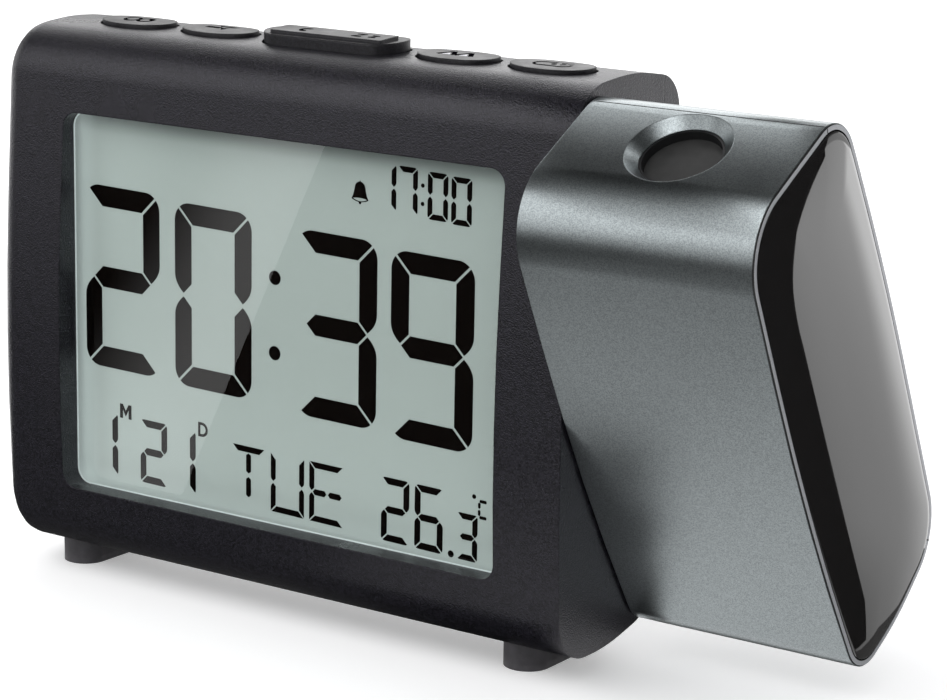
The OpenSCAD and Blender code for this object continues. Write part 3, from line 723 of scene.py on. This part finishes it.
def draw_weekday(art):
    """TUE in the bars of a starburst display."""
    stroke = WEEKDAY_LETTER["stroke"]
    for names, x in (("a", LETTER_T_X), ("bcdef", LETTER_U_X), ("adef", LETTER_E_X)):
        for name in names:
            art.add(segment(name, **WEEKDAY_LETTER), x, WEEKDAY_BASE)
    stem = LETTER_T_X + WEEKDAY_LETTER["width"] / 2
    for y in (2.8, 6.75):
        art.bar(stem - stroke / 2, y, stem + stroke / 2, y + 3.35, 0.35)
    middle = WEEKDAY_BASE + 4.35
    for x in (48.1, 51.1):
        art.bar(x, middle, x + 2.7, middle + stroke, 0.4)


def draw_bell(art):
    """The alarm's bell: dome, skirt with a lighter mouth, and clapper."""
    side = curve((1.0, 1.75), (1.2, 0.5), (1.62, -0.1))
    dome = arc(0, 1.65, 1.0, 8, 172, 12)
    crown = [(0.18, 2.55), (0, 2.85), (-0.18, 2.55)]
    half = len(dome) // 2
    dome = dome[:half] + crown + dome[half + 1 :]
    left = [(-x, y) for x, y in side]
    mouth = curve((-1.62, -0.1), (0, 0.35), (1.62, -0.1))
    art.add(dome + left + mouth[1:-1] + side[::-1], *BELL_PLACE)
    under = curve((-1.62, -0.12), (0, -0.95), (1.62, -0.12), 12)
    over = [(x * 0.9, y + 0.14) for x, y in under]
    art.add(under + over[::-1], *BELL_PLACE)
    x, y = BELL_PLACE
    art.dot(x, y - 0.62, 0.24)


def draw_letters(art):
    """M over the month, of two stems and two slanting strokes, and D over the day."""
    stroke, width = 0.62, 2.47
    right, middle = width - stroke, width / 2
    dip_low, dip_high, flank = 0.35, 1.3, LETTER_HEIGHT - 0.9
    for x in (0, right):
        box = [(x, 0), (x + stroke, 0), (x + stroke, LETTER_HEIGHT), (x, LETTER_HEIGHT)]
        art.add(box, *LETTER_M_PLACE)
    for x in (stroke, right):
        slant = [(x, LETTER_HEIGHT), (x, flank), (middle, dip_low), (middle, dip_high)]
        art.add(slant, *LETTER_M_PLACE)

    stem, bowl_x, radius = 0.45, 0.8, LETTER_HEIGHT / 2
    art.add([(0, 0), (stem, 0), (stem, LETTER_HEIGHT), (0, LETTER_HEIGHT)], *LETTER_D_PLACE)
    outer = arc(bowl_x, radius, radius, 90, -90, 14)
    inner = arc(bowl_x, radius, radius - stem, -90, 90, 14)
    over = [(stem, LETTER_HEIGHT)] + outer + [(stem, 0)]
    under = [(stem, stem)] + inner + [(stem, LETTER_HEIGHT - stem)]
    art.add(over + under, *LETTER_D_PLACE)


DISPLAY_PARTS = (
    ("time_segments", draw_time),
    ("alarm_segments", draw_alarm),
    ("date_segments", draw_date),
    ("temperature_segments", draw_temperature),
    ("weekday_segments", draw_weekday),
    ("bell_mark", draw_bell),
    ("date_letters", draw_letters),
)


def add_display():
    """Everything that the display shows, on the front of the liquid crystal."""
    ink = segment_ink().material
    place = lcd_place()
    for name, draw in DISPLAY_PARTS:
        art = Artwork(name, place, SEGMENT_THICKNESS)
        draw(art)
        art.finish("root", ink, "lcd_cell")


# ---- painted highlight at the window edge

WINDOW_CORNER = 2.6
EDGE_WIDTH = 0.2
EDGE_HEIGHT = 0.1


def rounded_rectangle(width, height, corner, inset):
    """A rounded rectangle from 0, 0 to width, height, drawn in by inset."""
    points = []
    radius = corner - inset
    for x, y, start in ((width, height, 0), (0, height, 90), (0, 0, 180), (width, 0, 270)):
        cx = corner if x == 0 else width - corner
        cy = corner if y == 0 else height - corner
        points += arc(cx, cy, radius, start, start + 90)
    return points


def painted_edge_highlight():
    """The polished edge of the clear plate, in a light colour with a glow of its own: a painted
    highlight.
    """
    made = Finish("painted_edge_highlight", shade(214, 228, 226), 0.25, Specular_IOR_Level=0.6)
    # Painted light: the edge glows though no lamp is there.
    made.glow(PAINTED_GLOW_COLOR, 0.22)
    return made.vary_color(made.noise(4), 0.9, 1.05)


def add_painted_window_highlight():
    """The thin bright line round the window, where the clear plate meets the housing: a painted
    highlight.
    """
    left, _, bottom, _ = window_opening()
    front = node_box("display_window")[0].y

    def to_frame(x, y, height):
        return left + x, front - height, bottom + y

    edge = Artwork("painted_window_highlight", to_frame, EDGE_HEIGHT)
    size = (WINDOW_INNER_W, WINDOW_INNER_H, WINDOW_CORNER)
    edge.frame(rounded_rectangle(*size, 0), rounded_rectangle(*size, EDGE_WIDTH))
    edge.finish("root", painted_edge_highlight().material, "window_clear")


# ---- marks on the keys

MARK_THICKNESS = 0.03
RAY_START = 5


def top_of(node):
    """A function from a place on top of a node, from the middle of its box, to the frame."""
    mesh = NODES[node].data
    points = [v.co for v in mesh.vertices]
    faces = [p.vertices[:] for p in mesh.polygons]
    tree = BVHTree.FromPolygons(points, faces)
    low, high = node_box(node)
    middle = (low + high) / 2

    def to_frame(x, y, height):
        above = Vector((middle.x + x, middle.y + y, high.z + RAY_START)) * MM
        place, _, _, _ = tree.ray_cast(above, Vector((0, 0, -1)))
        return place.x / MM, place.y / MM, place.z / MM + height

    return to_frame


def mark_ink():
    """The black of the marks."""
    made = Finish("mark_ink", shade(9, 8, 11), 0.7, Specular_IOR_Level=0)
    return made.vary_color(made.noise(0.4), 0.8, 1.2)


def painted_glint():
    """Painted glints: bright facets inside the arrows up, standing for light that they reflect."""
    made = Finish("painted_glint", shade(215, 215, 222), 0.4)
    return made.vary_color(made.noise(0.4), 0.9, 1.1)


def draw_linked_rings(art):
    """Two linked rings with a dot, on the mode key."""
    for x in (-1.6, 1.1):
        art.ring(x, 0.2, 1.6, 0.6)
    art.dot(2.0, 0.9, 0.6)


def draw_arrow_down(art):
    """A solid arrow head that points down, with a dash beside it."""
    art.add([(-1.7, 2.1), (2.2, 2.1), (0.7, -0.9)])
    art.line((-3.2, 0.4), (-0.4, 0.4), 0.9)


ARROWS_UP_X = (-1.7, 1.4)


def draw_arrows_up(art):
    """Two open arrow heads that point up."""
    for x in ARROWS_UP_X:
        art.path([(x - 1.5, -1.1), (x, 1.5), (x + 1.5, -1.1)], 0.8)


def draw_painted_glints(art):
    """A painted glint: a bright facet inside each arrow up."""
    for x in ARROWS_UP_X:
        art.add([(x - 0.7, -1.0), (x + 0.7, -1.0), (x, 0.3)])


def draw_projector(art):
    """A projector: a rounded body with its lens, and three rays."""
    stroke = 0.45
    art.bow(-1.9, 0, 1.5, stroke, 90, 270)
    art.bow(1.9, 0, 1.5, stroke, -90, 10)
    art.line((-1.9, 1.27), (0.1, 1.27), stroke)
    art.line((-1.9, -1.27), (1.9, -1.27), stroke)
    art.dot(0.1, 0.1, 0.45)
    for x, y in ((1.0, 0.9), (1.9, 1.2), (1.3, -0.1)):
        art.line((x, y), (x + 0.7, y + 0.6), 0.4)


def draw_snooze(art):
    """A moon and two letters Z, on the snooze bar."""
    row_y = -1.3
    art.bow(-4.9, row_y, 1.2, 0.7, 60, 300)
    for x, size in ((5.4, 1.8), (8.2, 1.3)):
        low, high = row_y - size / 2, row_y + size / 2
        left, right = x - size / 2, x + size / 2
        art.path([(left, high), (right, high), (left, low), (right, low)], 0.4)


KEY_MARKS = (
    ("mode_mark", "mode_button", draw_linked_rings, mark_ink, "key_plastic"),
    ("down_mark", "down_button", draw_arrow_down, mark_ink, "key_plastic"),
    ("up_mark", "up_button", draw_arrows_up, mark_ink, "key_plastic"),
    # The glints inside the arrows up are a painted highlight.
    ("up_painted_glints", "up_button", draw_painted_glints, painted_glint, "white_plastic"),
    ("projector_mark", "projector_button", draw_projector, mark_ink, "key_plastic"),
    ("snooze_mark", "snooze_bar", draw_snooze, mark_ink, "key_plastic"),
)


def add_key_marks():
    """Generic marks, each on its own key and riding with it."""
    # mark_ink is black print; the other finish is a painted highlight.
    inks = {kind: kind().material for kind in (mark_ink, painted_glint)}
    for name, node, draw, kind, slot in KEY_MARKS:
        art = Artwork(name, top_of(node), MARK_THICKNESS)
        draw(art)
        art.finish(node, inks[kind], slot)


# ---- end cap

HEAD_TURN = 30
LEANING = Matrix.Rotation(math.radians(HEAD_TURN), 2)
UPRIGHT = Matrix.Rotation(math.radians(-HEAD_TURN), 2)

CAP_LIP = 0.45
CAP_LIP_STEPS = 5
CAP_LIP_TURN = 80
CAP_CROWN = 0.55
CAP_CROWN_RINGS = 22
CAP_CROWN_POWER = 2.6
CAP_RIDGE_SHARE = 0.985
# The dome reaches this far past the CAD cap's outline, and a painted shadow line this wide surrounds
# it, for the dark of the gap.
CAP_OVERLAP = 0.34
CAP_GAP = 0.16


def cut_corners(outline):
    """One round of corner cutting on a closed outline of (y, z) points."""
    smoother = []
    for a, b in zip(outline, outline[1:] + outline[:1]):
        smoother += [a * 0.75 + b * 0.25, a * 0.25 + b * 0.75]
    return smoother


def grown(outline, distance):
    """A smooth closed outline, drawn outwards."""
    bigger = []
    for before, here, after in zip(outline[-1:] + outline[:-1], outline, outline[1:] + outline[:1]):
        way = (after - before).normalized()
        bigger.append(here + Vector((way.y, -way.x)) * distance)
    return bigger


def cap_outline():
    """The outline of the CAD end cap's flat side, upright, and the middle that it turns about."""
    low, high = node_box("head_end_cap")
    rim = {
        (round(v.co.y / MM, 3), round(v.co.z / MM, 3))
        for v in NODES["head_end_cap"].data.vertices
        if abs(v.co.x / MM - low.x) < 0.01
    }
    middle = Vector(((low.y + high.y) / 2, (low.z + high.z) / 2))
    points = [UPRIGHT @ (Vector(p) - middle) for p in rim]
    points.sort(key=lambda p: math.atan2(p.y, p.x))
    for _ in range(2):
        points = cut_corners(points)
    return points, middle


def cap_profile(low, high, half_width):
    """(x, share drawn in) of each ring, from the hidden edge over the lip to the crown's ridge."""
    lip_x = high - CAP_CROWN
    rings = [(low, 0.0), (lip_x - CAP_LIP, 0.0)]
    for i in range(1, CAP_LIP_STEPS + 1):
        turn = math.radians(CAP_LIP_TURN * i / CAP_LIP_STEPS)
        drawn = CAP_LIP * (1 - math.cos(turn)) / half_width
        rings.append((lip_x - CAP_LIP * (1 - math.sin(turn)), drawn))
    start_x, start_drawn = rings[-1]
    for i in range(1, CAP_CROWN_RINGS + 1):
        way = i / CAP_CROWN_RINGS
        rise = 1 - (1 - way) ** CAP_CROWN_POWER
        drawn = start_drawn + (CAP_RIDGE_SHARE - start_drawn) * way
        rings.append((start_x + (high - start_x) * rise, drawn))
    return rings


def cap_loops(mesh):
    """The dome's rings of mesh points, from its hidden edge to its ridge."""
    low, high = node_box("head_end_cap")
    outline, middle = cap_outline()
    outline = grown(outline, CAP_OVERLAP)
    half_width = max(p.x for p in outline)
    half_height = max(p.y for p in outline)
    loops = []
    for x, drawn in cap_profile(low.x, high.x, half_width):
        squat = 1 - drawn * half_width / half_height
        places = [LEANING @ Vector((p.x * (1 - drawn), p.y * squat)) + middle for p in outline]
        loops.append([mesh.verts.new(Vector((x, place.x, place.y)) * MM) for place in places])
    return loops


def add_end_cap(material):
    """The head's end cap as one smooth dome, which stands for the faceted CAD cap."""
    mesh = bmesh.new()
    loops = cap_loops(mesh)
    for near, far in zip(loops, loops[1:]):
        join_loops(mesh, near, far)
    mesh.faces.new(loops[0][::-1])
    mesh.faces.new(loops[-1])
    for face in mesh.faces:
        face.smooth = len(face.verts) == 4
    dome = mesh_object("end_cap_dome", mesh, material)
    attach(dome, "projector_head")
    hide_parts("head_end_cap")


# ---- end ring and seams of the head

RING_WIDTH = 1.2
RING_HEIGHT = 0.02
# The shells' end is cut back all round by RIM_STEP; a painted shadow line, RIM_LINE wide, stands in
# that step.
RIM_STEP = 0.2
RIM_LINE = 0.07
RIM_LINE_DEPTH = 0.03
JOINT_HEIGHT = 0.01
RING_SEAM_WIDTH = 0.22
SEAM_WIDTH = 0.2
SEAM_HEIGHT = 0.035
SEAM_SINK = 0.02
SEAM_START = 0.5


def ring_painted_highlight():
    """The head's end edge, in a paint lighter than the head's: a painted highlight for the light the
    edge catches.
    """
    made = Finish("ring_painted_highlight", shade(178, 180, 184), 0.5, Metallic=0.35)
    made.bump(made.noise(0.15, 1), 0.004, 0.5)
    return made.vary_color(made.grains(0.13), 0.9, 1.1, start=0, end=1)


def joint_shadow(name, level):
    """Painted shadow: the dark that falls in a narrow joint."""
    made = Finish(name, shade(level, level, level), 0.7, Specular_IOR_Level=0)
    return made.vary_color(made.noise(0.5), 0.9, 1.1)


def head_place(point, middle):
    """The frame's (y, z) of a point that is given with the head upright."""
    return LEANING @ point + middle


def end_band(name, x, thickness, middle):
    """Artwork on the flat end of the head, at this x."""

    def to_frame(y, z, height):
        place = head_place(Vector((y, z)), middle)
        return x + height, place.x, place.y

    return Artwork(name, to_frame, thickness)


def seam_spots(outline, shell, middle):
    """The outline's two points, upper and lower, where the seam of the two shells ends."""
    front = NODES["head_front_shell"].data.vertices
    seam = max((UPRIGHT @ (Vector((v.co.y, v.co.z)) / MM - middle)).x for v in front)
    spots = []
    for side in (1, -1):
        beside = [i for i, p in enumerate(outline) if p.y * side > 0]
        spots.append(min(beside, key=lambda i: abs(shell[i].x - seam)))
    return spots


def add_shell_seam(name, edge, out, middle, shadow):
    """One seam of the two shells: a painted shadow line along the outside of the head."""
    low, high = node_box("head_front_shell")
    way = Vector((out.y, -out.x))

    def to_frame(x, y, height):
        place = head_place(edge + way * y + out * (height - SEAM_SINK), middle)
        return x, place.x, place.y

    seam = Artwork(name, to_frame, SEAM_HEIGHT)
    seam.line((low.x + SEAM_START, 0), (high.x - RIM_STEP, 0), SEAM_WIDTH)
    seam.finish("projector_head", shadow, "black_plastic")


def add_end_ring():
    """The end ring in a painted highlight, the painted shadow lines inside and outside it, and the
    shells' seams, also painted shadow lines.
    """
    outline, middle = cap_outline()
    end_x = node_box("head_front_shell")[1].x
    inner = grown(outline, CAP_OVERLAP + CAP_GAP)
    outer = grown(outline, RING_WIDTH)
    rim = grown(outline, RING_WIDTH + RIM_LINE)
    shell = grown(outline, RING_WIDTH + RIM_STEP)
    paint = ring_painted_highlight().material
    shadow = joint_shadow("seam_shadow", 58).material
    dark = joint_shadow("gap_shadow", 14).material
    line_height = RIM_STEP - RIM_LINE_DEPTH
    bands = (
        ("end_ring", end_x, RING_HEIGHT, outer, inner, paint, "head_paint"),
        ("end_ring_joint", end_x - RIM_STEP, line_height, rim, outer, shadow, "black_plastic"),
        ("end_cap_joint", end_x, JOINT_HEIGHT, inner, outline, dark, "black_plastic"),
    )
    for name, x, height, outside, inside, material, slot in bands:
        art = end_band(name, x, height, middle)
        art.frame(outside, inside)
        art.finish("projector_head", material, slot)

    spots = seam_spots(outline, shell, middle)
    joints = end_band("end_ring_seam", end_x + RING_HEIGHT, JOINT_HEIGHT, middle)
    for spot in spots:
        joints.line(inner[spot], outer[spot], RING_SEAM_WIDTH)
    joints.finish("projector_head", shadow, "black_plastic")
    for name, spot in zip(("upper_seam", "lower_seam"), spots):
        out = (shell[spot] - outline[spot]).normalized()
        add_shell_seam(name, shell[spot], out, middle, shadow)


# ---- floor and world

FLOOR_SIZE = 6.0
FLOOR_LIFT = 0.3
WORLD_LIGHT = 0.78


def seen_or_mirrored(tree):
    """A socket that is 1 for what the camera sees directly, in a mirror or through glass."""
    path = tree.nodes.new("ShaderNodeLightPath")
    seen = path.outputs["Is Camera Ray"]
    for kind in ("Is Glossy Ray", "Is Transmission Ray"):
        either = tree.nodes.new("ShaderNodeMath")
        either.operation = "MAXIMUM"
        tree.links.new(seen, either.inputs[0])
        tree.links.new(path.outputs[kind], either.inputs[1])
        seen = either.outputs["Value"]
    return seen


def between_values(tree, fac, low, high):
    """A socket that goes from low to high as fac goes from 0 to 1."""
    span = new_node(tree, "ShaderNodeMapRange", To_Min=low, To_Max=high)
    tree.links.new(fac, span.inputs["Value"])
    return span.outputs["Result"]


def add_stage():
    """A plain pale floor that keeps the shadow and is lifted towards white where it is seen."""
    bpy.ops.mesh.primitive_plane_add(size=FLOOR_SIZE, location=(0, 0, 0))
    floor = bpy.context.object
    floor.name = "floor"
    made = Finish("floor", shade(246, 246, 247), 0.7, Specular_IOR_Level=0.1)
    made.vary_color(made.noise(60), 0.995, 1.005)
    lift = made.node("ShaderNodeEmission")
    both = made.node("ShaderNodeAddShader")
    output = made.tree.nodes["Material Output"]
    strength = between_values(made.tree, seen_or_mirrored(made.tree), 0, FLOOR_LIFT)
    made.link(strength, lift.inputs["Strength"])
    made.link(made.shader.outputs["BSDF"], both.inputs[0])
    made.link(lift.outputs["Emission"], both.inputs[1])
    made.link(both.outputs["Shader"], output.inputs["Surface"])
    floor.data.materials.append(made.material)


def add_world():
    """White at strength 1 wherever it is seen or mirrored, and a little dimmer as a light."""
    world = bpy.data.worlds.new("world")
    bpy.context.scene.world = world
    world.use_nodes = True
    tree = world.node_tree
    background = tree.nodes["Background"]
    background.inputs["Color"].default_value = (1, 1, 1, 1)
    strength = between_values(tree, seen_or_mirrored(tree), WORLD_LIGHT, 1.0)
    tree.links.new(strength, background.inputs["Strength"])


# ---- studio lights and cards

# Softboxes are placed in metres, cards in millimetres.
LIGHT_TARGET = (0, 0, 0.05)
STRIP_LEFT = -2200
STRIP_RIGHT = 1400
STRIP_AXIS_Z = 50
# Heights of the level cards: the first four lie just over the floor, the others just over the clock.
DARK_FLOOR_Z = 1
UNDER_CARD_Z = 1.2
FLOOR_CARD_Z = 1.5
SHEEN_Z = 2
TOP_CARD_Z = 105
DISH_CARD_Z = 104


def add_softbox(name, place, size, power, mirrored):
    """A rectangular soft light that faces the clock, and that glossy surfaces may mirror."""
    data = bpy.data.lights.new(name, "AREA")
    data.shape = "RECTANGLE"
    data.size, data.size_y = size
    data.energy = power
    light = linked(name, data)
    light.location = place
    light.rotation_mode = "QUATERNION"
    light.rotation_quaternion = (Vector(LIGHT_TARGET) - Vector(place)).to_track_quat("-Z", "Y")
    light.visible_camera = False
    light.visible_glossy = mirrored


def faded(tree, start, end, gain):
    """A socket that goes from 0 at start to gain at end, two places in millimetres."""
    axis = Vector(end) - Vector(start)
    place = tree.nodes.new("ShaderNodeTexCoord")
    along = tree.nodes.new("ShaderNodeVectorMath")
    along.operation = "DOT_PRODUCT"
    along.inputs[1].default_value = axis / MM
    tree.links.new(place.outputs["Object"], along.inputs[0])
    reach = {"From_Min": axis.dot(Vector(start)), "From_Max": axis.dot(Vector(end))}
    span = new_node(tree, "ShaderNodeMapRange", To_Max=gain, **reach)
    span.interpolation_type = "SMOOTHSTEP"
    tree.links.new(along.outputs["Value"], span.inputs["Value"])
    return span.outputs["Result"]


def across(start, end, gain):
    """A fade along X."""
    return ((start, 0, 0), (end, 0, 0), gain)


def outward(start, end, gain):
    """A fade along Y."""
    return ((0, start, 0), (0, end, 0), gain)


def upward(start, end, gain):
    """A fade along Z."""
    return ((0, 0, start), (0, 0, end), gain)


def card_material(name, glow, fades, seen_by):
    """Emission for the rays named by seen_by, and nothing at all for other rays."""
    material = bpy.data.materials.new(name)
    material.use_nodes = True
    tree = material.node_tree
    tree.nodes.remove(tree.nodes["Principled BSDF"])
    path = new_node(tree, "ShaderNodeLightPath")
    light = new_node(tree, "ShaderNodeEmission", Strength=glow)
    strength = light.inputs["Strength"]
    for fade in fades:
        add = tree.nodes.new("ShaderNodeMath")
        add.inputs[0].default_value = glow
        if strength.links:
            tree.links.new(strength.links[0].from_socket, add.inputs[0])
        tree.links.new(faded(tree, *fade), add.inputs[1])
        tree.links.new(add.outputs["Value"], strength)
    show_over_clear(tree, path.outputs[seen_by], light.outputs["Emission"])
    return material


def add_card(name, corners, glow, fades=(), seen_by="Is Glossy Ray"):
    """A studio card that only mirrored rays see: near black where its glow is near 0.

    Each fade (start, end, gain) adds softly to the glow, from nothing at start to gain at end.
    """
    data = bpy.data.meshes.new(name)
    data.from_pydata([Vector(c) * MM for c in corners], [], [range(len(corners))])
    card = linked(name, data)
    data.materials.append(card_material(name, glow, fades, seen_by))
    card.visible_camera = False
    card.visible_diffuse = False
    card.visible_shadow = False
    card.visible_transmission = False


def strip(start, end, distance):
    """Corners of a card along X that fills the angles from start to end round the clock.

    Angle 0 is level in front of the clock and 90 is straight above it.
    """
    corners = []
    places = ((STRIP_LEFT, start), (STRIP_RIGHT, start), (STRIP_RIGHT, end), (STRIP_LEFT, end))
    for x, angle in places:
        turn = math.radians(angle)
        rise = distance * math.sin(turn)
        corners.append((x, -distance * math.cos(turn), STRIP_AXIS_Z + rise))
    return corners


def laid_flat(outline, z):
    """Corners of a level card of any outline."""
    return [(x, y, z) for x, y in outline]


def level_card(x0, x1, y0, y1, z):
    """Corners of a level rectangular card."""
    return laid_flat(((x0, y0), (x1, y0), (x1, y1), (x0, y1)), z)


def add_strips():
    """The room that the clock mirrors, from the front over the top to the back."""
    rising = upward(STRIP_AXIS_Z, 380, 0.75)
    add_card("glow_front", strip(0, 29, 1100), 0.05, [across(-1120, -900, 0.75), rising])
    add_card("glow_upper", strip(29, 57, 1050), 0.62, [across(-1000, -640, 1.6)])
    add_card("flag_high", strip(57, 100, 900), 0.02)
    add_card("glow_back", strip(116, 160, 1000), 0.05, [across(-980, -380, 0.97)])
    add_card("glow_horizon", strip(160, 192, 980), 0.05, [across(-980, -430, 0.64)])


# The bent edge between the dark and the bright part of the floor that the head mirrors.
FLOOR_EDGE = [(40, 8), (37, -2), (32, -14), (28, -27), (-20, -29), (-20, -86)]
DARK_FLOOR_FRONT = -1100
BRIGHT_FLOOR_RIGHT = 130


def add_floor_cards():
    """The floor that the head mirrors: nearly black at the left, brighter round the head."""
    front, back = FLOOR_EDGE[-1][1], FLOOR_EDGE[0][1]
    dark = [(STRIP_LEFT, DARK_FLOOR_FRONT), (STRIP_RIGHT, DARK_FLOOR_FRONT), (STRIP_RIGHT, front)]
    dark += FLOOR_EDGE[::-1] + [(STRIP_LEFT, back)]
    dark_fades = [outward(-350, DARK_FLOOR_FRONT, 0.7), across(16, -24, 0.07)]
    add_card("flag_floor", laid_flat(dark, DARK_FLOOR_Z), 0.01, dark_fades)
    under = [(BRIGHT_FLOOR_RIGHT, front), (BRIGHT_FLOOR_RIGHT, back)] + FLOOR_EDGE
    add_card("glow_under", laid_flat(under, UNDER_CARD_Z), 0.13, [outward(-112, 10, 0.72)])
    add_card("glow_ahead", level_card(-30, 700, -600, front, FLOOR_CARD_Z), 0.2)
    add_card("flag_behind", level_card(35, 84, 9, 80, FLOOR_CARD_Z), 0.1)


# Left, right, front and back of the small cards close over the head, their glow and their fades.
TOP_CARDS = (
    ("glow_above", (18, 62, -24, 26), 0, [outward(-9.5, -2.5, 1.75)]),
    ("glow_brow", (18, 57, -78, -24), 0.08, [outward(-26, -58, 0.85)]),
    ("glow_dish", (57, 90, -78, -20), 0.08, [outward(-22, -40, 2.7)]),
    ("flag_right", (62, 220, -20, 60), 0.08, []),
)


def add_top_cards():
    """What the head's top mirrors, and a dark card a little lower for its lens dish."""
    for name, sides, glow, fades in TOP_CARDS:
        add_card(name, level_card(*sides, TOP_CARD_Z), glow, fades)
    add_card("flag_dish", level_card(49, 60, 2, 20, DISH_CARD_Z), 0)


SIDE_CARD_X = 85


def add_end_cards():
    """What the end cap mirrors: a black shape with a curved edge, and the lit floor beyond it."""
    bend = curve((4.2, 83), (-10, 70), (-0.1, 54.3), 14)
    edge = [(-300, 200), (-60, 120), (2.5, 90)] + bend + [(28, 1.6), (-300, 1.6)]
    add_card("flag_side", [(SIDE_CARD_X, y, z) for y, z in edge], 0)
    near = ((84, 10, 1), (110, 100, 1), 0.3)
    far = ((90, 10, 1), (380, 420, 1), 0.42)
    rim = ((120, 114, 1), (92, 127, 1), 0.8)
    beyond = level_card(84, 900, -60, 1200, FLOOR_CARD_Z)
    add_card("glow_side", beyond, 0.4, [near, far, rim])


# The edge that the bright and the dark card share, from far to near, and how far they reach.
SHEEN_EDGE = [(-330, -437), (-73, -52), (-60, -13)]
SHEEN_LEFT = -1500
SHEEN_RIGHT = 700
SHEEN_FRONT = -1500


def add_sheen():
    """The slanting sheen on the display window, strongest along its straight edge.

    Both cards are seen only by rays that a perfectly sharp mirror sends out.
    """
    sharp = "Is Singular Ray"
    back = SHEEN_EDGE[-1][1]
    far_left = (SHEEN_LEFT, SHEEN_EDGE[0][1])
    lit = SHEEN_EDGE + [(SHEEN_LEFT, back), far_left]
    fade = ((-234, -219, SHEEN_Z), (-207, -238, SHEEN_Z), 1.75)
    add_card("sheen", laid_flat(lit, SHEEN_Z), 0, [fade], sharp)
    right = [(SHEEN_RIGHT, back), (SHEEN_RIGHT, SHEEN_FRONT)]
    dark = SHEEN_EDGE + right + [(SHEEN_LEFT, SHEEN_FRONT), far_left]
    add_card("flag_window", laid_flat(dark, SHEEN_Z), 0, [], sharp)


def add_lights():
    """Softboxes at the front left and behind, and the cards that shape the reflections."""
    add_softbox("softbox_front", (-0.5, -0.5, 0.8), (1.4, 0.45), 4.5, mirrored=False)
    add_softbox("softbox_back", (-0.4, 0.8, 0.5), (1.4, 0.5), 4, mirrored=True)
    add_strips()
    add_floor_cards()
    add_top_cards()
    add_end_cards()
    add_sheen()


# ---- the scene

add_camera()
add_stage()
add_world()
add_lights()
materials = dress_nodes()
add_display()
add_painted_window_highlight()
add_key_marks()
add_end_cap(materials["piano_black"])
add_end_ring()

bpy.context.scene.view_settings.view_transform = "Standard"
